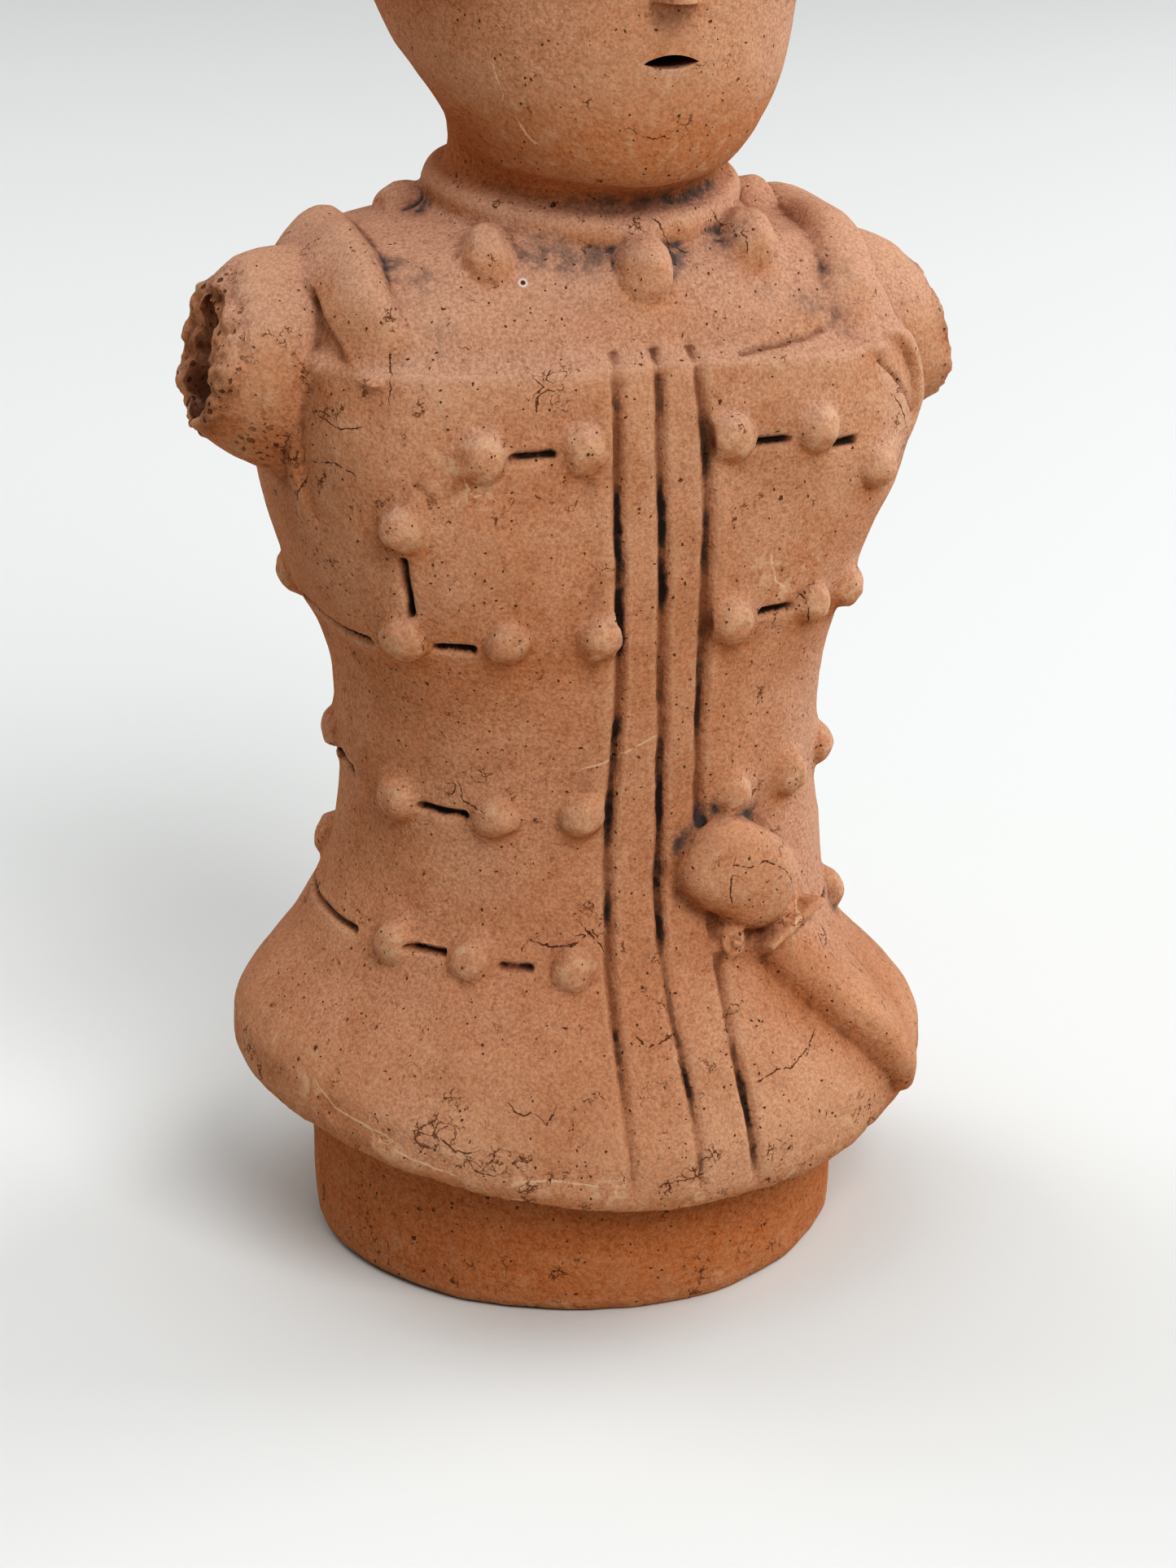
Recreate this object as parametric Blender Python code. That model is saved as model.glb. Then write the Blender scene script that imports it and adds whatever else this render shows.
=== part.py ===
# A haniwa warrior bust in one piece of hollow, low-fired clay.
# It stands on a short tubular foot, wears a riveted cuirass that flares into a
# skirt, a necklace, a sword at its left hip and a plain ridged helmet, and both
# arms are broken off below the shoulder. The front faces -Y, up is +Z, and the
# origin is on the ground under the middle of the figure.
import math

import bmesh
import bpy
from mathutils import Matrix, Vector

# Driving dimensions, in metres
FIGURE_HEIGHT = 0.282
WALL = 0.007
FOOT_WIDTH = 0.097
FOOT_DEPTH = 0.092
FOOT_HEIGHT = 0.028
STUD_WIDTH = 0.0084
STUD_HEIGHT = 0.003
SCORE_WIDTH = 0.0019
SCORE_DEPTH = 0.0016
SEAM_WIDTH = 0.0017
SEAM_DEPTH = 0.0015
STRAP_WIDTH = 0.0115
STRAP_THICKNESS = 0.0026
ROPE_WIDTH = 0.0068
BEAD_WIDTH = 0.0108
BEAD_LENGTH = 0.0125
BEAD_HEIGHT = 0.0044
ARM_BORE_WIDTH = 0.0085
ARM_BORE_HEIGHT = 0.0135
MOUTH_WIDTH = 0.0092
MOUTH_HEIGHT = 0.0024
EYE_WIDTH = 0.0115
EYE_HEIGHT = 0.0032
RIM_HEIGHT = 0.007
RIM_THICKNESS = 0.0017
KEEL_WIDTH = 0.0075

# How far applied clay sinks into what carries it, and cuts run past it
BITE = 0.0016
CLEARANCE = 0.0009

# Above its foot the figure is a free form, drawn in millimetres on a foot of
# this width, depth and height. Its plan follows the real foot across and along,
# and its details and levels, which are heights in this drawing, follow the height.
DRAWN_HEIGHT = 282.0
DRAWN_FOOT_WIDTH = 97.0
DRAWN_FOOT_DEPTH = 92.0
DRAWN_FOOT = 28.0
ACROSS = FOOT_WIDTH / DRAWN_FOOT_WIDTH
ALONG = FOOT_DEPTH / DRAWN_FOOT_DEPTH
DRAWN = (FIGURE_HEIGHT - FOOT_HEIGHT) / (DRAWN_HEIGHT - DRAWN_FOOT)

COLUMNS = 36
HOLLOW_COLUMNS = 16
PELLET_SIDES = 7
ARM_SIDES = 16
BORE_SIDES = 10
ROPE_SIDES = 6
NECKLACE_STATIONS = 20
RIM_STATIONS = 26
BROW_STATIONS = 9

# The outline: level, half width to the figure's right and to its left, front,
# back, and squareness of the cross-section. Squareness 2 is an ellipse and 3 a
# rounded box.
SKIRT = (
    (23.5, 61.0, 62.8, 54.0, 54.0, 2.0),
    (27.0, 62.3, 64.4, 55.2, 55.0, 2.0),
    (32.0, 62.2, 64.3, 55.0, 54.4, 2.0),
    (38.0, 60.4, 60.9, 53.6, 53.0, 2.0),
    (45.0, 55.8, 54.9, 50.3, 50.0, 2.05),
    (52.0, 51.0, 49.3, 46.0, 45.8, 2.1),
    (60.0, 47.6, 45.0, 41.4, 41.3, 2.15),
    (68.0, 44.7, 43.8, 38.3, 38.0, 2.2),
)
CUIRASS = (
    (76.0, 42.6, 43.0, 36.8, 36.4, 2.25),
    (88.0, 41.8, 41.8, 36.2, 35.7, 2.3),
    (104.0, 42.1, 42.0, 36.5, 35.8, 2.45),
    (114.0, 44.6, 43.0, 37.2, 36.4, 2.65),
    (122.0, 48.4, 45.4, 38.0, 37.0, 2.85),
    (130.0, 51.0, 48.4, 38.4, 37.3, 3.05),
    (140.0, 53.4, 53.0, 38.5, 37.3, 3.2),
    (152.0, 54.8, 54.8, 38.2, 36.8, 3.3),
    (166.0, 53.6, 53.6, 37.0, 35.2, 3.2),
)
SHOULDERS = (
    (167.4, 53.2, 53.2, 34.9, 33.6, 3.1),
    (174.0, 51.6, 51.0, 31.8, 31.4, 3.0),
    (180.0, 48.5, 47.6, 28.3, 28.2, 2.6),
    (183.4, 42.5, 41.6, 25.6, 25.6, 2.3),
    (185.6, 29.0, 28.4, 24.6, 24.6, 2.0),
    (191.0, 23.2, 23.0, 22.6, 22.8, 2.0),
)
HEAD = (
    (194.6, 22.5, 22.5, 25.6, 21.6, 2.0),
    (197.0, 23.4, 23.4, 31.2, 21.2, 2.0),
    (204.0, 27.6, 27.6, 36.0, 22.0, 2.0),
    (210.0, 30.4, 30.4, 37.6, 26.0, 2.05),
    (216.0, 32.7, 32.7, 38.0, 32.5, 2.05),
    (221.5, 34.4, 34.4, 38.0, 39.0, 2.1),
    (226.0, 37.0, 37.0, 38.0, 43.0, 2.1),
    (230.5, 35.3, 35.3, 37.6, 38.8, 2.1),
    (246.0, 35.4, 35.4, 37.0, 38.5, 2.1),
    (258.0, 33.4, 33.4, 35.0, 36.0, 2.05),
    (266.0, 28.6, 28.6, 29.8, 30.6, 2.0),
    (273.0, 21.6, 21.6, 22.4, 23.0, 2.0),
    (278.0, 12.6, 12.6, 13.0, 13.4, 2.0),
)
CROWN_LEVEL = 280.2
OUTLINE = SKIRT + CUIRASS + SHOULDERS + HEAD

# The hem sits higher at the sides than in front, most at the figure's right.
HEM_LIFT_RIGHT = 11.0
HEM_LIFT_LEFT = 4.0
HEM_LIFT_FROM = 32.0
HEM_LIFT_TO = 72.0
HEM_LIP = 3.6
HEM_LIP_RISE = 0.72
# The foot's lower edge is rounded off, and its side is drawn in a little.
FOOT_ARRIS = 0.965
FOOT_ARRIS_HEIGHT = 0.0022
FOOT_WAIST = 0.988
# The left shoulder hangs lower than the right one.
SHOULDER_DROP = 3.6
SHOULDER_DROP_FROM = 148.0
SHOULDER_DROP_TO = 178.0
SHOULDER_DROP_END = 191.0
ARMPIT_LEVEL = 150.0
NECK_LEVEL = 191.0

# Levels at which the hollow follows the body's skin, the neck, and the head's
BODY_HOLLOW = (54.0, 64.0, 80.0, 104.0, 118.0, 132.0, 156.0, 168.0, 176.0)
NECK_HOLLOW = (182.0, 197.0)
HEAD_HOLLOW = (208.0, 220.0, 240.0, 254.0, 265.0)
HOLLOW_TOP = 269.0

# Rivets of the cuirass: level, then the turn of each, in degrees from the
# front and positive towards the figure's left.
STUD_ROWS = (
    (153.7, (-41.0, -21.0, 17.0, 37.0, 150.0, 172.0, -164.0, -142.0)),
    (145.0, (51.0,)),
    (141.8, (-54.0, 126.0, -126.0)),
    (122.2, (-57.0, -37.0, -16.5, 18.5, 41.0, 55.0, 80.0)),
    (121.0, (108.0, 137.0, 166.0, -165.0, -136.0, -110.0)),
    (90.0, (-67.0, -41.0, -20.5, 23.0, 44.0, 67.0)),
    (93.0, (-106.0, 96.0, 124.0, 152.0, 180.0, -152.0, -128.0)),
    (63.6, (-63.5, -45.5, -22.0)),
    (59.5, (72.0,)),
    (70.0, (-115.0, 112.0, 144.0, 176.0, -150.0)),
)
# Short seams scored between the rivets: level, first turn, last turn
SEAMS = (
    (153.5, -35.0, -28.0),
    (152.5, 23.0, 30.0),
    (150.5, 41.0, 45.0),
    (120.8, -50.5, -44.0),
    (122.6, 27.0, 34.0),
    (89.5, -60.0, -49.0),
    (64.0, -58.5, -52.0),
    (63.3, -38.0, -32.0),
    (61.5, 58.0, 64.0),
    (120.0, -98.0, -66.0),
    (90.0, -112.0, -86.0),
    (62.0, -112.0, -76.0),
    (120.5, 62.0, 72.0),
    (90.5, 76.0, 88.0),
    (121.0, 117.0, 127.0),
    (121.0, 174.0, 184.0),
    (93.0, 133.0, 143.0),
    (70.0, 154.0, 165.0),
)
SEAM_STEP = 8.0
# The upright slot beside the right armhole: turn, lower level, upper level
ARMHOLE_SLOT = (-54.5, 127.0, 136.0)

# The three long scores down the front opening: turn at each level
SCORE_LEVELS = (164.0, 147.0, 128.0, 108.0, 88.0, 72.0, 58.0, 44.0, 36.0, 28.0)
FRONT_SCORES = {
    "left": (9.5, 11.0, 11.2, 11.8, 13.2, 14.8, 14.4, 12.6, 12.5, 13.0),
    "middle": (-1.5, -1.0, 0.1, 1.0, 1.7, 1.0, 0.8, 1.3, 1.6, 2.0),
    "right": (-13.0, -12.3, -11.3, -11.2, -12.6, -13.0, -12.8, -12.0, -11.3, -10.5),
}

# Broken arms, from inside the shoulder out: reach, height of the middle,
# half height, half depth. The break leans by so many mm per mm of height.
RIGHT_ARM = (
    (38.0, 163.0, 17.0, 14.5),
    (52.0, 162.5, 19.5, 16.5),
    (59.0, 163.5, 17.2, 15.4),
    (66.0, 165.0, 11.8, 12.2),
)
LEFT_ARM = (
    (38.0, 163.0, 16.0, 14.5),
    (50.0, 160.5, 17.6, 16.0),
    (58.0, 159.6, 15.4, 14.6),
    (64.8, 158.8, 11.6, 11.8),
)
RIGHT_BREAK_LEAN = 0.2
LEFT_BREAK_LEAN = 0.15
# The right stump is open to the hollow inside, and the left one has a dent.
RIGHT_BORE_DEPTH = 30.0
LEFT_BORE_DEPTH = 6.5

# The straps over the shoulders: turn, and distance from the middle plane.
# They lie flatter than the shoulder under them, by this share of its slant.
STRAP_SLANT = 0.5
RIGHT_STRAP = (
    (-57.5, 43.2), (-62.5, 44.0), (-70.0, 44.5), (-84.0, 44.2),
    (-97.0, 43.8), (-111.0, 43.4), (-118.0, 42.8), (-122.5, 42.4),
)
LEFT_STRAP = (
    (49.0, 36.8), (54.0, 37.4), (61.0, 38.8), (75.0, 40.2),
    (95.0, 41.2), (111.0, 41.2), (120.0, 40.6), (126.0, 39.6),
)

# The necklace is a rolled cord, lowest in front, with beads at turn and level.
NECKLACE_FRONT = 185.0
NECKLACE_BACK = 190.0
NECKLACE_RADIUS = 23.4
BEADS = (
    (-104.0, 185.3), (-48.0, 183.2), (-1.0, 180.2), (41.0, 183.6), (88.0, 185.2),
    (134.0, 183.6), (178.0, 181.0), (-150.0, 183.4),
)

# The sword: turn and level of the pommel's middle and of the knob, then the
# guard's line and the scabbard's, with half width and rise
POMMEL_TURN, POMMEL_LEVEL = 26.5, 76.5
POMMEL_SIZE = (12.2, 9.0, 8.4)
POMMEL_TILT = 24.0
KNOB_TURN, KNOB_LEVEL, KNOB_SIZE = 23.5, 65.0, 3.1
GUARD = ((28.0, 62.4), (34.0, 64.0), (41.0, 65.4), (48.0, 66.0))
GUARD_HALF_WIDTH, GUARD_RISE = 1.5, 5.8
SCABBARD = (
    (34.5, 64.5, 6.8, 4.6),
    (39.5, 57.0, 6.8, 5.2),
    (44.0, 50.0, 6.4, 5.4),
    (48.0, 43.0, 5.8, 5.0),
    (52.0, 35.5, 5.0, 4.0),
    (55.5, 28.5, 4.4, 2.2),
)

MOUTH_LEVEL = 214.3
EYE_LEVEL = 237.5
EYE_OUT = 14.5
EYE_SPLAY = 0.32
SLIT_STEPS = 6
SLIT_SAG = 0.75
# The nose from its tip up: level, half width, rise
NOSE = ((223.6, 4.4, 6.4), (228.0, 3.6, 5.6), (236.0, 2.6, 3.8), (244.0, 2.2, 2.4))
BROW_LEVEL = 244.5
BROW_DROP = 3.4
BROW_HALF_TURN = 46.0
BROW_HALF_WIDTH = 2.0
RIM_FRONT, RIM_BACK = 251.0, 243.0
RIM_STUD_TURNS = (22.0, 67.0, 112.0, 158.0, -158.0, -112.0, -67.0, -22.0)
RIM_STUD_SCALE = 0.72

CLAY = (0.50, 0.21, 0.115, 1.0)


def clear_scene():
    for old in list(bpy.data.objects):
        bpy.data.objects.remove(old, do_unlink=True)


def clay_material():
    material = bpy.data.materials.new("fired_clay")
    material.use_nodes = True
    shader = material.node_tree.nodes["Principled BSDF"]
    shader.inputs["Base Color"].default_value = CLAY
    shader.inputs["Roughness"].default_value = 0.92
    shader.inputs["Metallic"].default_value = 0.0
    return material


def height(level):
    """The real height of a level of the drawing."""
    return FOOT_HEIGHT + (level - DRAWN_FOOT) * DRAWN


def place(x, y, level):
    """A real point from the drawing's millimetres."""
    return Vector((x * ACROSS, y * ALONG, height(level)))


def outline_at(level):
    """Half widths, front, back and squareness at a level of the drawing."""
    if level <= OUTLINE[0][0]:
        return OUTLINE[0][1:]
    for lower, upper in zip(OUTLINE, OUTLINE[1:]):
        if level <= upper[0]:
            share = (level - lower[0]) / (upper[0] - lower[0])
            return tuple(a + (b - a) * share for a, b in zip(lower[1:], upper[1:]))
    return OUTLINE[-1][1:]


def ramp(value, start, end):
    """Rises from 0 at start to 1 at end."""
    return min(max((value - start) / (end - start), 0.0), 1.0)


def lift(turn, level):
    """How far the surface is raised there: the hem at both sides, less a drop at the left shoulder."""
    side = math.sin(math.radians(turn))
    hem = ramp(level, HEM_LIFT_TO, HEM_LIFT_FROM) * (HEM_LIFT_RIGHT if side < 0 else HEM_LIFT_LEFT)
    drop = SHOULDER_DROP * ramp(level, SHOULDER_DROP_FROM, SHOULDER_DROP_TO)
    drop *= ramp(level, SHOULDER_DROP_END, SHOULDER_DROP_TO)
    return side * side * (hem - (drop if side > 0 else 0.0))


def cross_section(turn, right, left, front, back, squareness):
    """A point of a rounded outline, at a turn from the front, in plan."""
    side, ahead = math.sin(math.radians(turn)), math.cos(math.radians(turn))
    half_width = right if side < 0 else left
    half_depth = (front + back) / 2
    reach = (abs(side / half_width) ** squareness + abs(ahead / half_depth) ** squareness) ** (-1 / squareness)
    return side * reach, (back - front) / 2 - ahead * reach


def skin(turn, level, inset=0.0):
    """A point of the figure's surface, or of one that lies inset metres within it."""
    right, left, front, back, squareness = outline_at(level)
    right, left = right - inset / ACROSS, left - inset / ACROSS
    front, back = front - inset / ALONG, back - inset / ALONG
    x, y = cross_section(turn, right, left, front, back, squareness)
    return place(x, y, level + lift(turn, level))


def skin_frame(turn, level):
    """A point of the surface with its directions: around, up the surface, and outwards."""
    step = 0.5
    around = (skin(turn + step, level) - skin(turn - step, level)).normalized()
    up = (skin(turn, level + step) - skin(turn, level - step)).normalized()
    outwards = around.cross(up).normalized()
    return skin(turn, level), around, outwards.cross(around), outwards


def frame_matrix(point, around, up, outwards):
    return Matrix.Translation(point) @ Matrix((around, up, outwards)).transposed().to_4x4()


def new_object(name, bm):
    bmesh.ops.recalc_face_normals(bm, faces=bm.faces)
    mesh = bpy.data.meshes.new(name)
    bm.to_mesh(mesh)
    bm.free()
    made = bpy.data.objects.new(name, mesh)
    bpy.context.scene.collection.objects.link(made)
    return made


def loft(name, rings, ring_shaped=False):
    """A closed skin through rings of points. It is capped, or its last ring joins the first."""
    bm = bmesh.new()
    rows = [[bm.verts.new(point) for point in ring] for ring in rings]
    afters = rows[1:] + rows[:1] if ring_shaped else rows[1:]
    for row, after in zip(rows, afters):
        for i in range(len(row)):
            j = (i + 1) % len(row)
            bm.faces.new((row[i], row[j], after[j], after[i]))
    if not ring_shaped:
        bm.faces.new(rows[0][::-1])
        bm.faces.new(rows[-1])
    return new_object(name, bm)


def helper(made, collection):
    """Marks an object as clay to be joined on, or as a cut."""
    made.hide_render = True
    made.display_type = "WIRE"
    for holder in list(made.users_collection):
        holder.objects.unlink(made)
    collection.objects.link(made)
    return made


def turns(count):
    return [360.0 * i / count for i in range(count)]


def foot_ring(z, share=1.0, count=COLUMNS, inset=0.0):
    """The oval foot's outline at a height, as a share of its full size."""
    half_width = FOOT_WIDTH / 2 * share - inset
    half_depth = FOOT_DEPTH / 2 * share - inset
    ring = []
    for turn in turns(count):
        x, y = cross_section(turn, half_width, half_width, half_depth, half_depth, 2.0)
        ring.append(Vector((x, y, z)))
    return ring


def body_skin():
    """The foot, the underside of the skirt, and the outer surface up to the crown."""
    rings = [
        foot_ring(0.0, FOOT_ARRIS),
        foot_ring(FOOT_ARRIS_HEIGHT, FOOT_WAIST),
        foot_ring(FOOT_HEIGHT * 0.45, FOOT_WAIST),
    ]
    joint = foot_ring(FOOT_HEIGHT)
    for point, turn in zip(joint, turns(COLUMNS)):
        point.z += lift(turn, 0.0) * DRAWN
    rings.append(joint)
    hem = SKIRT[0][0]
    rings.append([skin(turn, hem + HEM_LIP_RISE, HEM_LIP * ACROSS) for turn in turns(COLUMNS)])
    for station in OUTLINE:
        rings.append([skin(turn, station[0]) for turn in turns(COLUMNS)])
    body = loft("haniwa_figure", rings)
    raise_crown(body)
    return body


def raise_crown(body):
    """Turns the flat lid over the last ring into a low crown."""
    bm = bmesh.new()
    bm.from_mesh(body.data)
    lid = max(bm.faces, key=lambda face: face.calc_center_median().z)
    made = bmesh.ops.poke(bm, faces=[lid])
    made["verts"][0].co.z = height(CROWN_LEVEL)
    bm.to_mesh(body.data)
    bm.free()


def hollow():
    """The inside: the foot's bore, then the wall's thickness within the skin, narrow at the neck."""
    ways = turns(HOLLOW_COLUMNS)
    rings = [foot_ring(z, count=HOLLOW_COLUMNS, inset=WALL) for z in (-WALL, FOOT_HEIGHT)]
    rings += [[skin(turn, level, WALL) for turn in ways] for level in BODY_HOLLOW]
    neck = outline_at(NECK_LEVEL)[0] - WALL / ACROSS
    for level in NECK_HOLLOW:
        rings.append([
            place(neck * math.sin(math.radians(turn)), -neck * math.cos(math.radians(turn)), level)
            for turn in ways
        ])
    rings += [[skin(turn, level, WALL) for turn in ways] for level in HEAD_HOLLOW]
    rings.append([Vector((point.x / 2, point.y / 2, height(HOLLOW_TOP))) for point in rings[-1]])
    return loft("cut_hollow", rings)


def arm_stub(name, stations, side, lean):
    """The stump of an arm: oval rings from inside the shoulder to the leaning break."""
    rings = []
    for index, (reach, middle, half_height, half_depth) in enumerate(stations):
        last = index == len(stations) - 1
        ring = []
        for turn in turns(ARM_SIDES):
            up = half_height * math.cos(math.radians(turn))
            back = half_depth * math.sin(math.radians(turn))
            out = reach - (lean * up if last else 0.0)
            ring.append(place(side * out, back, middle + up))
        rings.append(ring)
    return loft(name, rings)


def arm_bore(name, stations, side, depth):
    """The hole left in the broken stump, so many drawn millimetres deep."""
    reach, middle = stations[-1][0], stations[-1][1]
    rings = []
    for out, share in ((reach + 6.0, 1.25), (reach - 5.0, 1.0), (reach - depth, 0.8)):
        ring = []
        for turn in turns(BORE_SIDES):
            up = ARM_BORE_HEIGHT / 2 * share * math.cos(math.radians(turn))
            back = ARM_BORE_WIDTH / 2 * share * math.sin(math.radians(turn))
            ring.append(place(side * out, 0, middle) + Vector((0, back, up)))
        rings.append(ring)
    return loft(name, rings)


def band_along(name, stops, section):
    """A bar laid along the surface. Each stop is a point, a direction across and one outwards,
    and section gives the outline there, as pairs of across and outwards in metres."""
    rings = []
    for index, (point, across, outwards) in enumerate(stops):
        rings.append([point + across * a + outwards * o for a, o in section(index)])
    return loft(name, rings)


def stops_along(route):
    """Point, direction across and direction outwards at each turn and level of a route."""
    frames = [skin_frame(turn, level) for turn, level in route]
    stops = []
    for index, (point, around, up, outwards) in enumerate(frames):
        ahead = frames[min(index + 1, len(frames) - 1)][0] - frames[max(index - 1, 0)][0]
        stops.append((point, ahead.cross(outwards).normalized(), outwards))
    return stops


def groove(name, route, width, depth):
    """A V-shaped cut that follows a route of turn and level over the surface."""
    stops = stops_along(route)
    half = width / 2
    flare = 1 + CLEARANCE / depth
    outline = (
        (-half * flare, CLEARANCE), (half * flare, CLEARANCE),
        (0.25 * half, -depth), (-0.25 * half, -depth),
    )
    return band_along(name, stops, lambda index: outline)


def seam(name, level, first, last):
    steps = 1 + int(abs(last - first) / SEAM_STEP)
    route = [(first + (last - first) * i / steps, level) for i in range(steps + 1)]
    return groove(name, route, SEAM_WIDTH, SEAM_DEPTH)


def dome_mesh(name, half_width, half_length, height):
    """A low pellet of clay pressed on: a dome whose base sinks into what carries it."""
    bm = bmesh.new()
    top = bm.verts.new((0, 0, height))
    base, shoulder = [], []
    for turn in turns(PELLET_SIDES):
        x, y = half_width * math.sin(math.radians(turn)), half_length * math.cos(math.radians(turn))
        base.append(bm.verts.new((x, y, -BITE)))
        shoulder.append(bm.verts.new((x * 0.8, y * 0.8, 0.62 * height)))
    for i in range(PELLET_SIDES):
        j = (i + 1) % PELLET_SIDES
        bm.faces.new((base[i], base[j], shoulder[j], shoulder[i]))
        bm.faces.new((shoulder[i], shoulder[j], top))
    bm.faces.new(base[::-1])
    bmesh.ops.recalc_face_normals(bm, faces=bm.faces)
    mesh = bpy.data.meshes.new(name)
    bm.to_mesh(mesh)
    bm.free()
    return mesh


def pressed_on(name, mesh, turn, level, collection):
    """Sets a pellet on the surface, flat against it."""
    made = bpy.data.objects.new(name, mesh)
    bpy.context.scene.collection.objects.link(made)
    made.matrix_world = frame_matrix(*skin_frame(turn, level))
    return helper(made, collection)


def level_at_x(turn, x):
    """The level above the armpit at which the surface there lies x from the middle plane."""
    low, high = ARMPIT_LEVEL, NECK_LEVEL
    for _ in range(40):
        middle = (low + high) / 2
        if abs(skin(turn, middle).x) > x:
            low = middle
        else:
            high = middle
    return (low + high) / 2


def turn_at_x(x, level):
    """The turn on the front half at which the surface lies x from the middle plane."""
    low, high = 0.0, math.copysign(90.0, x)
    for _ in range(40):
        middle = (low + high) / 2
        if abs(skin(middle, level).x) < abs(x):
            low = middle
        else:
            high = middle
    return (low + high) / 2


def shoulder_strap(name, route):
    """A strap from the cuirass's front edge over the shoulder to its back edge."""
    stops = []
    levels = [(turn, level_at_x(turn, out * ACROSS)) for turn, out in route]
    for point, across, outwards in stops_along(levels):
        ahead = outwards.cross(across)
        outwards.x *= STRAP_SLANT
        outwards.normalize()
        stops.append((point, ahead.cross(outwards).normalized(), outwards))
    half, rise = STRAP_WIDTH / 2, STRAP_THICKNESS
    outline = (
        (-half, -BITE), (half, -BITE), (half, 0.45 * rise), (0.62 * half, rise),
        (-0.62 * half, rise), (-half, 0.45 * rise),
    )
    return band_along(name, stops, lambda index: outline)


def necklace_rope():
    """The rolled cord of clay round the neck, lower in front than behind."""
    rings = []
    for turn in turns(NECKLACE_STATIONS):
        side, ahead = math.sin(math.radians(turn)), math.cos(math.radians(turn))
        level = NECKLACE_BACK - (NECKLACE_BACK - NECKLACE_FRONT) * (0.5 + 0.5 * ahead) ** 2
        middle = place(side * NECKLACE_RADIUS, -ahead * NECKLACE_RADIUS, level)
        out = Vector((side, -ahead, 0))
        ring = []
        for roll in turns(ROPE_SIDES):
            across = ROPE_WIDTH / 2 * math.cos(math.radians(roll))
            up = ROPE_WIDTH / 2 * math.sin(math.radians(roll))
            ring.append(middle + out * across + Vector((0, 0, up)))
        rings.append(ring)
    return loft("clay_necklace", rings, ring_shaped=True)


def sword(collection):
    """The bulbous pommel, the knob under the grip, and the scabbard down the skirt."""
    point, around, up, outwards = skin_frame(POMMEL_TURN, POMMEL_LEVEL)
    bm = bmesh.new()
    bmesh.ops.create_uvsphere(bm, u_segments=12, v_segments=7, radius=1.0)
    bmesh.ops.scale(bm, vec=[size * DRAWN for size in POMMEL_SIZE], verts=bm.verts)
    pommel = new_object("clay_pommel", bm)
    tilt = Matrix.Rotation(math.radians(-POMMEL_TILT), 4, "Z")
    pommel.matrix_world = frame_matrix(point, around, up, outwards) @ tilt
    helper(pommel, collection)
    size = KNOB_SIZE * DRAWN
    knob = dome_mesh("knob", size, size, 0.9 * size)
    pressed_on("clay_knob", knob, KNOB_TURN, KNOB_LEVEL, collection)
    guard_half, guard_rise = GUARD_HALF_WIDTH * DRAWN, GUARD_RISE * DRAWN
    guard_outline = (
        (-guard_half, -BITE), (guard_half, -BITE), (0.7 * guard_half, guard_rise),
        (-0.7 * guard_half, guard_rise),
    )
    helper(band_along("clay_guard", stops_along(GUARD), lambda index: guard_outline), collection)

    def section(index):
        half, rise = SCABBARD[index][2] * DRAWN, SCABBARD[index][3] * DRAWN
        return (
            (-half, -BITE), (half, -BITE), (0.96 * half, 0.45 * rise), (0.6 * half, 0.9 * rise),
            (0.0, rise), (-0.6 * half, 0.8 * rise), (-0.96 * half, 0.35 * rise),
        )

    stops = stops_along([(turn, level) for turn, level, half, rise in SCABBARD])
    helper(band_along("clay_scabbard", stops, section), collection)


def almond(name, point, width, height, outwards):
    """A pierced slit with pointed ends, cut straight through the wall and flatter below."""
    up = Vector((0, 0, 1))
    across = up.cross(outwards).normalized()
    shares = [-1 + 2 * i / SLIT_STEPS for i in range(SLIT_STEPS + 1)]
    bow = [(share * width / 2, height / 2 * math.cos(share * math.pi / 2)) for share in shares]
    below = [(a, -SLIT_SAG * b) for a, b in bow[-2:0:-1]]
    rings = []
    for depth in (WALL, -2.6 * WALL):
        rings.append([point + across * a + up * b + outwards * depth for a, b in bow + below])
    return loft(name, rings)


def face_cuts(collection):
    """The pierced mouth and eyes."""
    ahead = Vector((0, -1, 0))
    helper(almond("cut_mouth", skin(0.0, MOUTH_LEVEL), MOUTH_WIDTH, MOUTH_HEIGHT, ahead), collection)
    for name, side in (("left", 1), ("right", -1)):
        eye = skin(turn_at_x(side * EYE_OUT * ACROSS, EYE_LEVEL), EYE_LEVEL)
        outwards = Vector((EYE_SPLAY * side, -1, 0)).normalized()
        helper(almond("cut_eye_" + name, eye, EYE_WIDTH, EYE_HEIGHT, outwards), collection)


def nose():
    """A narrow wedge that widens and stands out towards its tip."""
    rings = []
    for level, half, rise in NOSE:
        outline = (
            (-half, -BITE / DRAWN), (half, -BITE / DRAWN), (0.82 * half, 0.45 * rise),
            (0.34 * half, rise), (-0.34 * half, rise), (-0.82 * half, 0.45 * rise),
        )
        rings.append([skin(0.0, level) + Vector((a, -o, 0)) * DRAWN for a, o in outline])
    return loft("clay_nose", rings)


def brow():
    """One low ridge over both eyes, thinner towards its ends."""
    shares = [-1 + 2 * i / (BROW_STATIONS - 1) for i in range(BROW_STATIONS)]
    stops = []
    for share in shares:
        level = BROW_LEVEL - BROW_DROP * share * share
        point, around, up, outwards = skin_frame(share * BROW_HALF_TURN, level)
        stops.append((point, up, outwards))

    def section(index):
        half, rise = BROW_HALF_WIDTH * DRAWN, (1.9 - 0.9 * abs(shares[index])) * DRAWN
        return (
            (-half, -BITE), (-half, 0.1 * rise), (-0.4 * half, rise),
            (0.5 * half, rise), (half, 0.1 * rise), (half, -BITE),
        )

    return band_along("clay_brow", stops, section)


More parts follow.
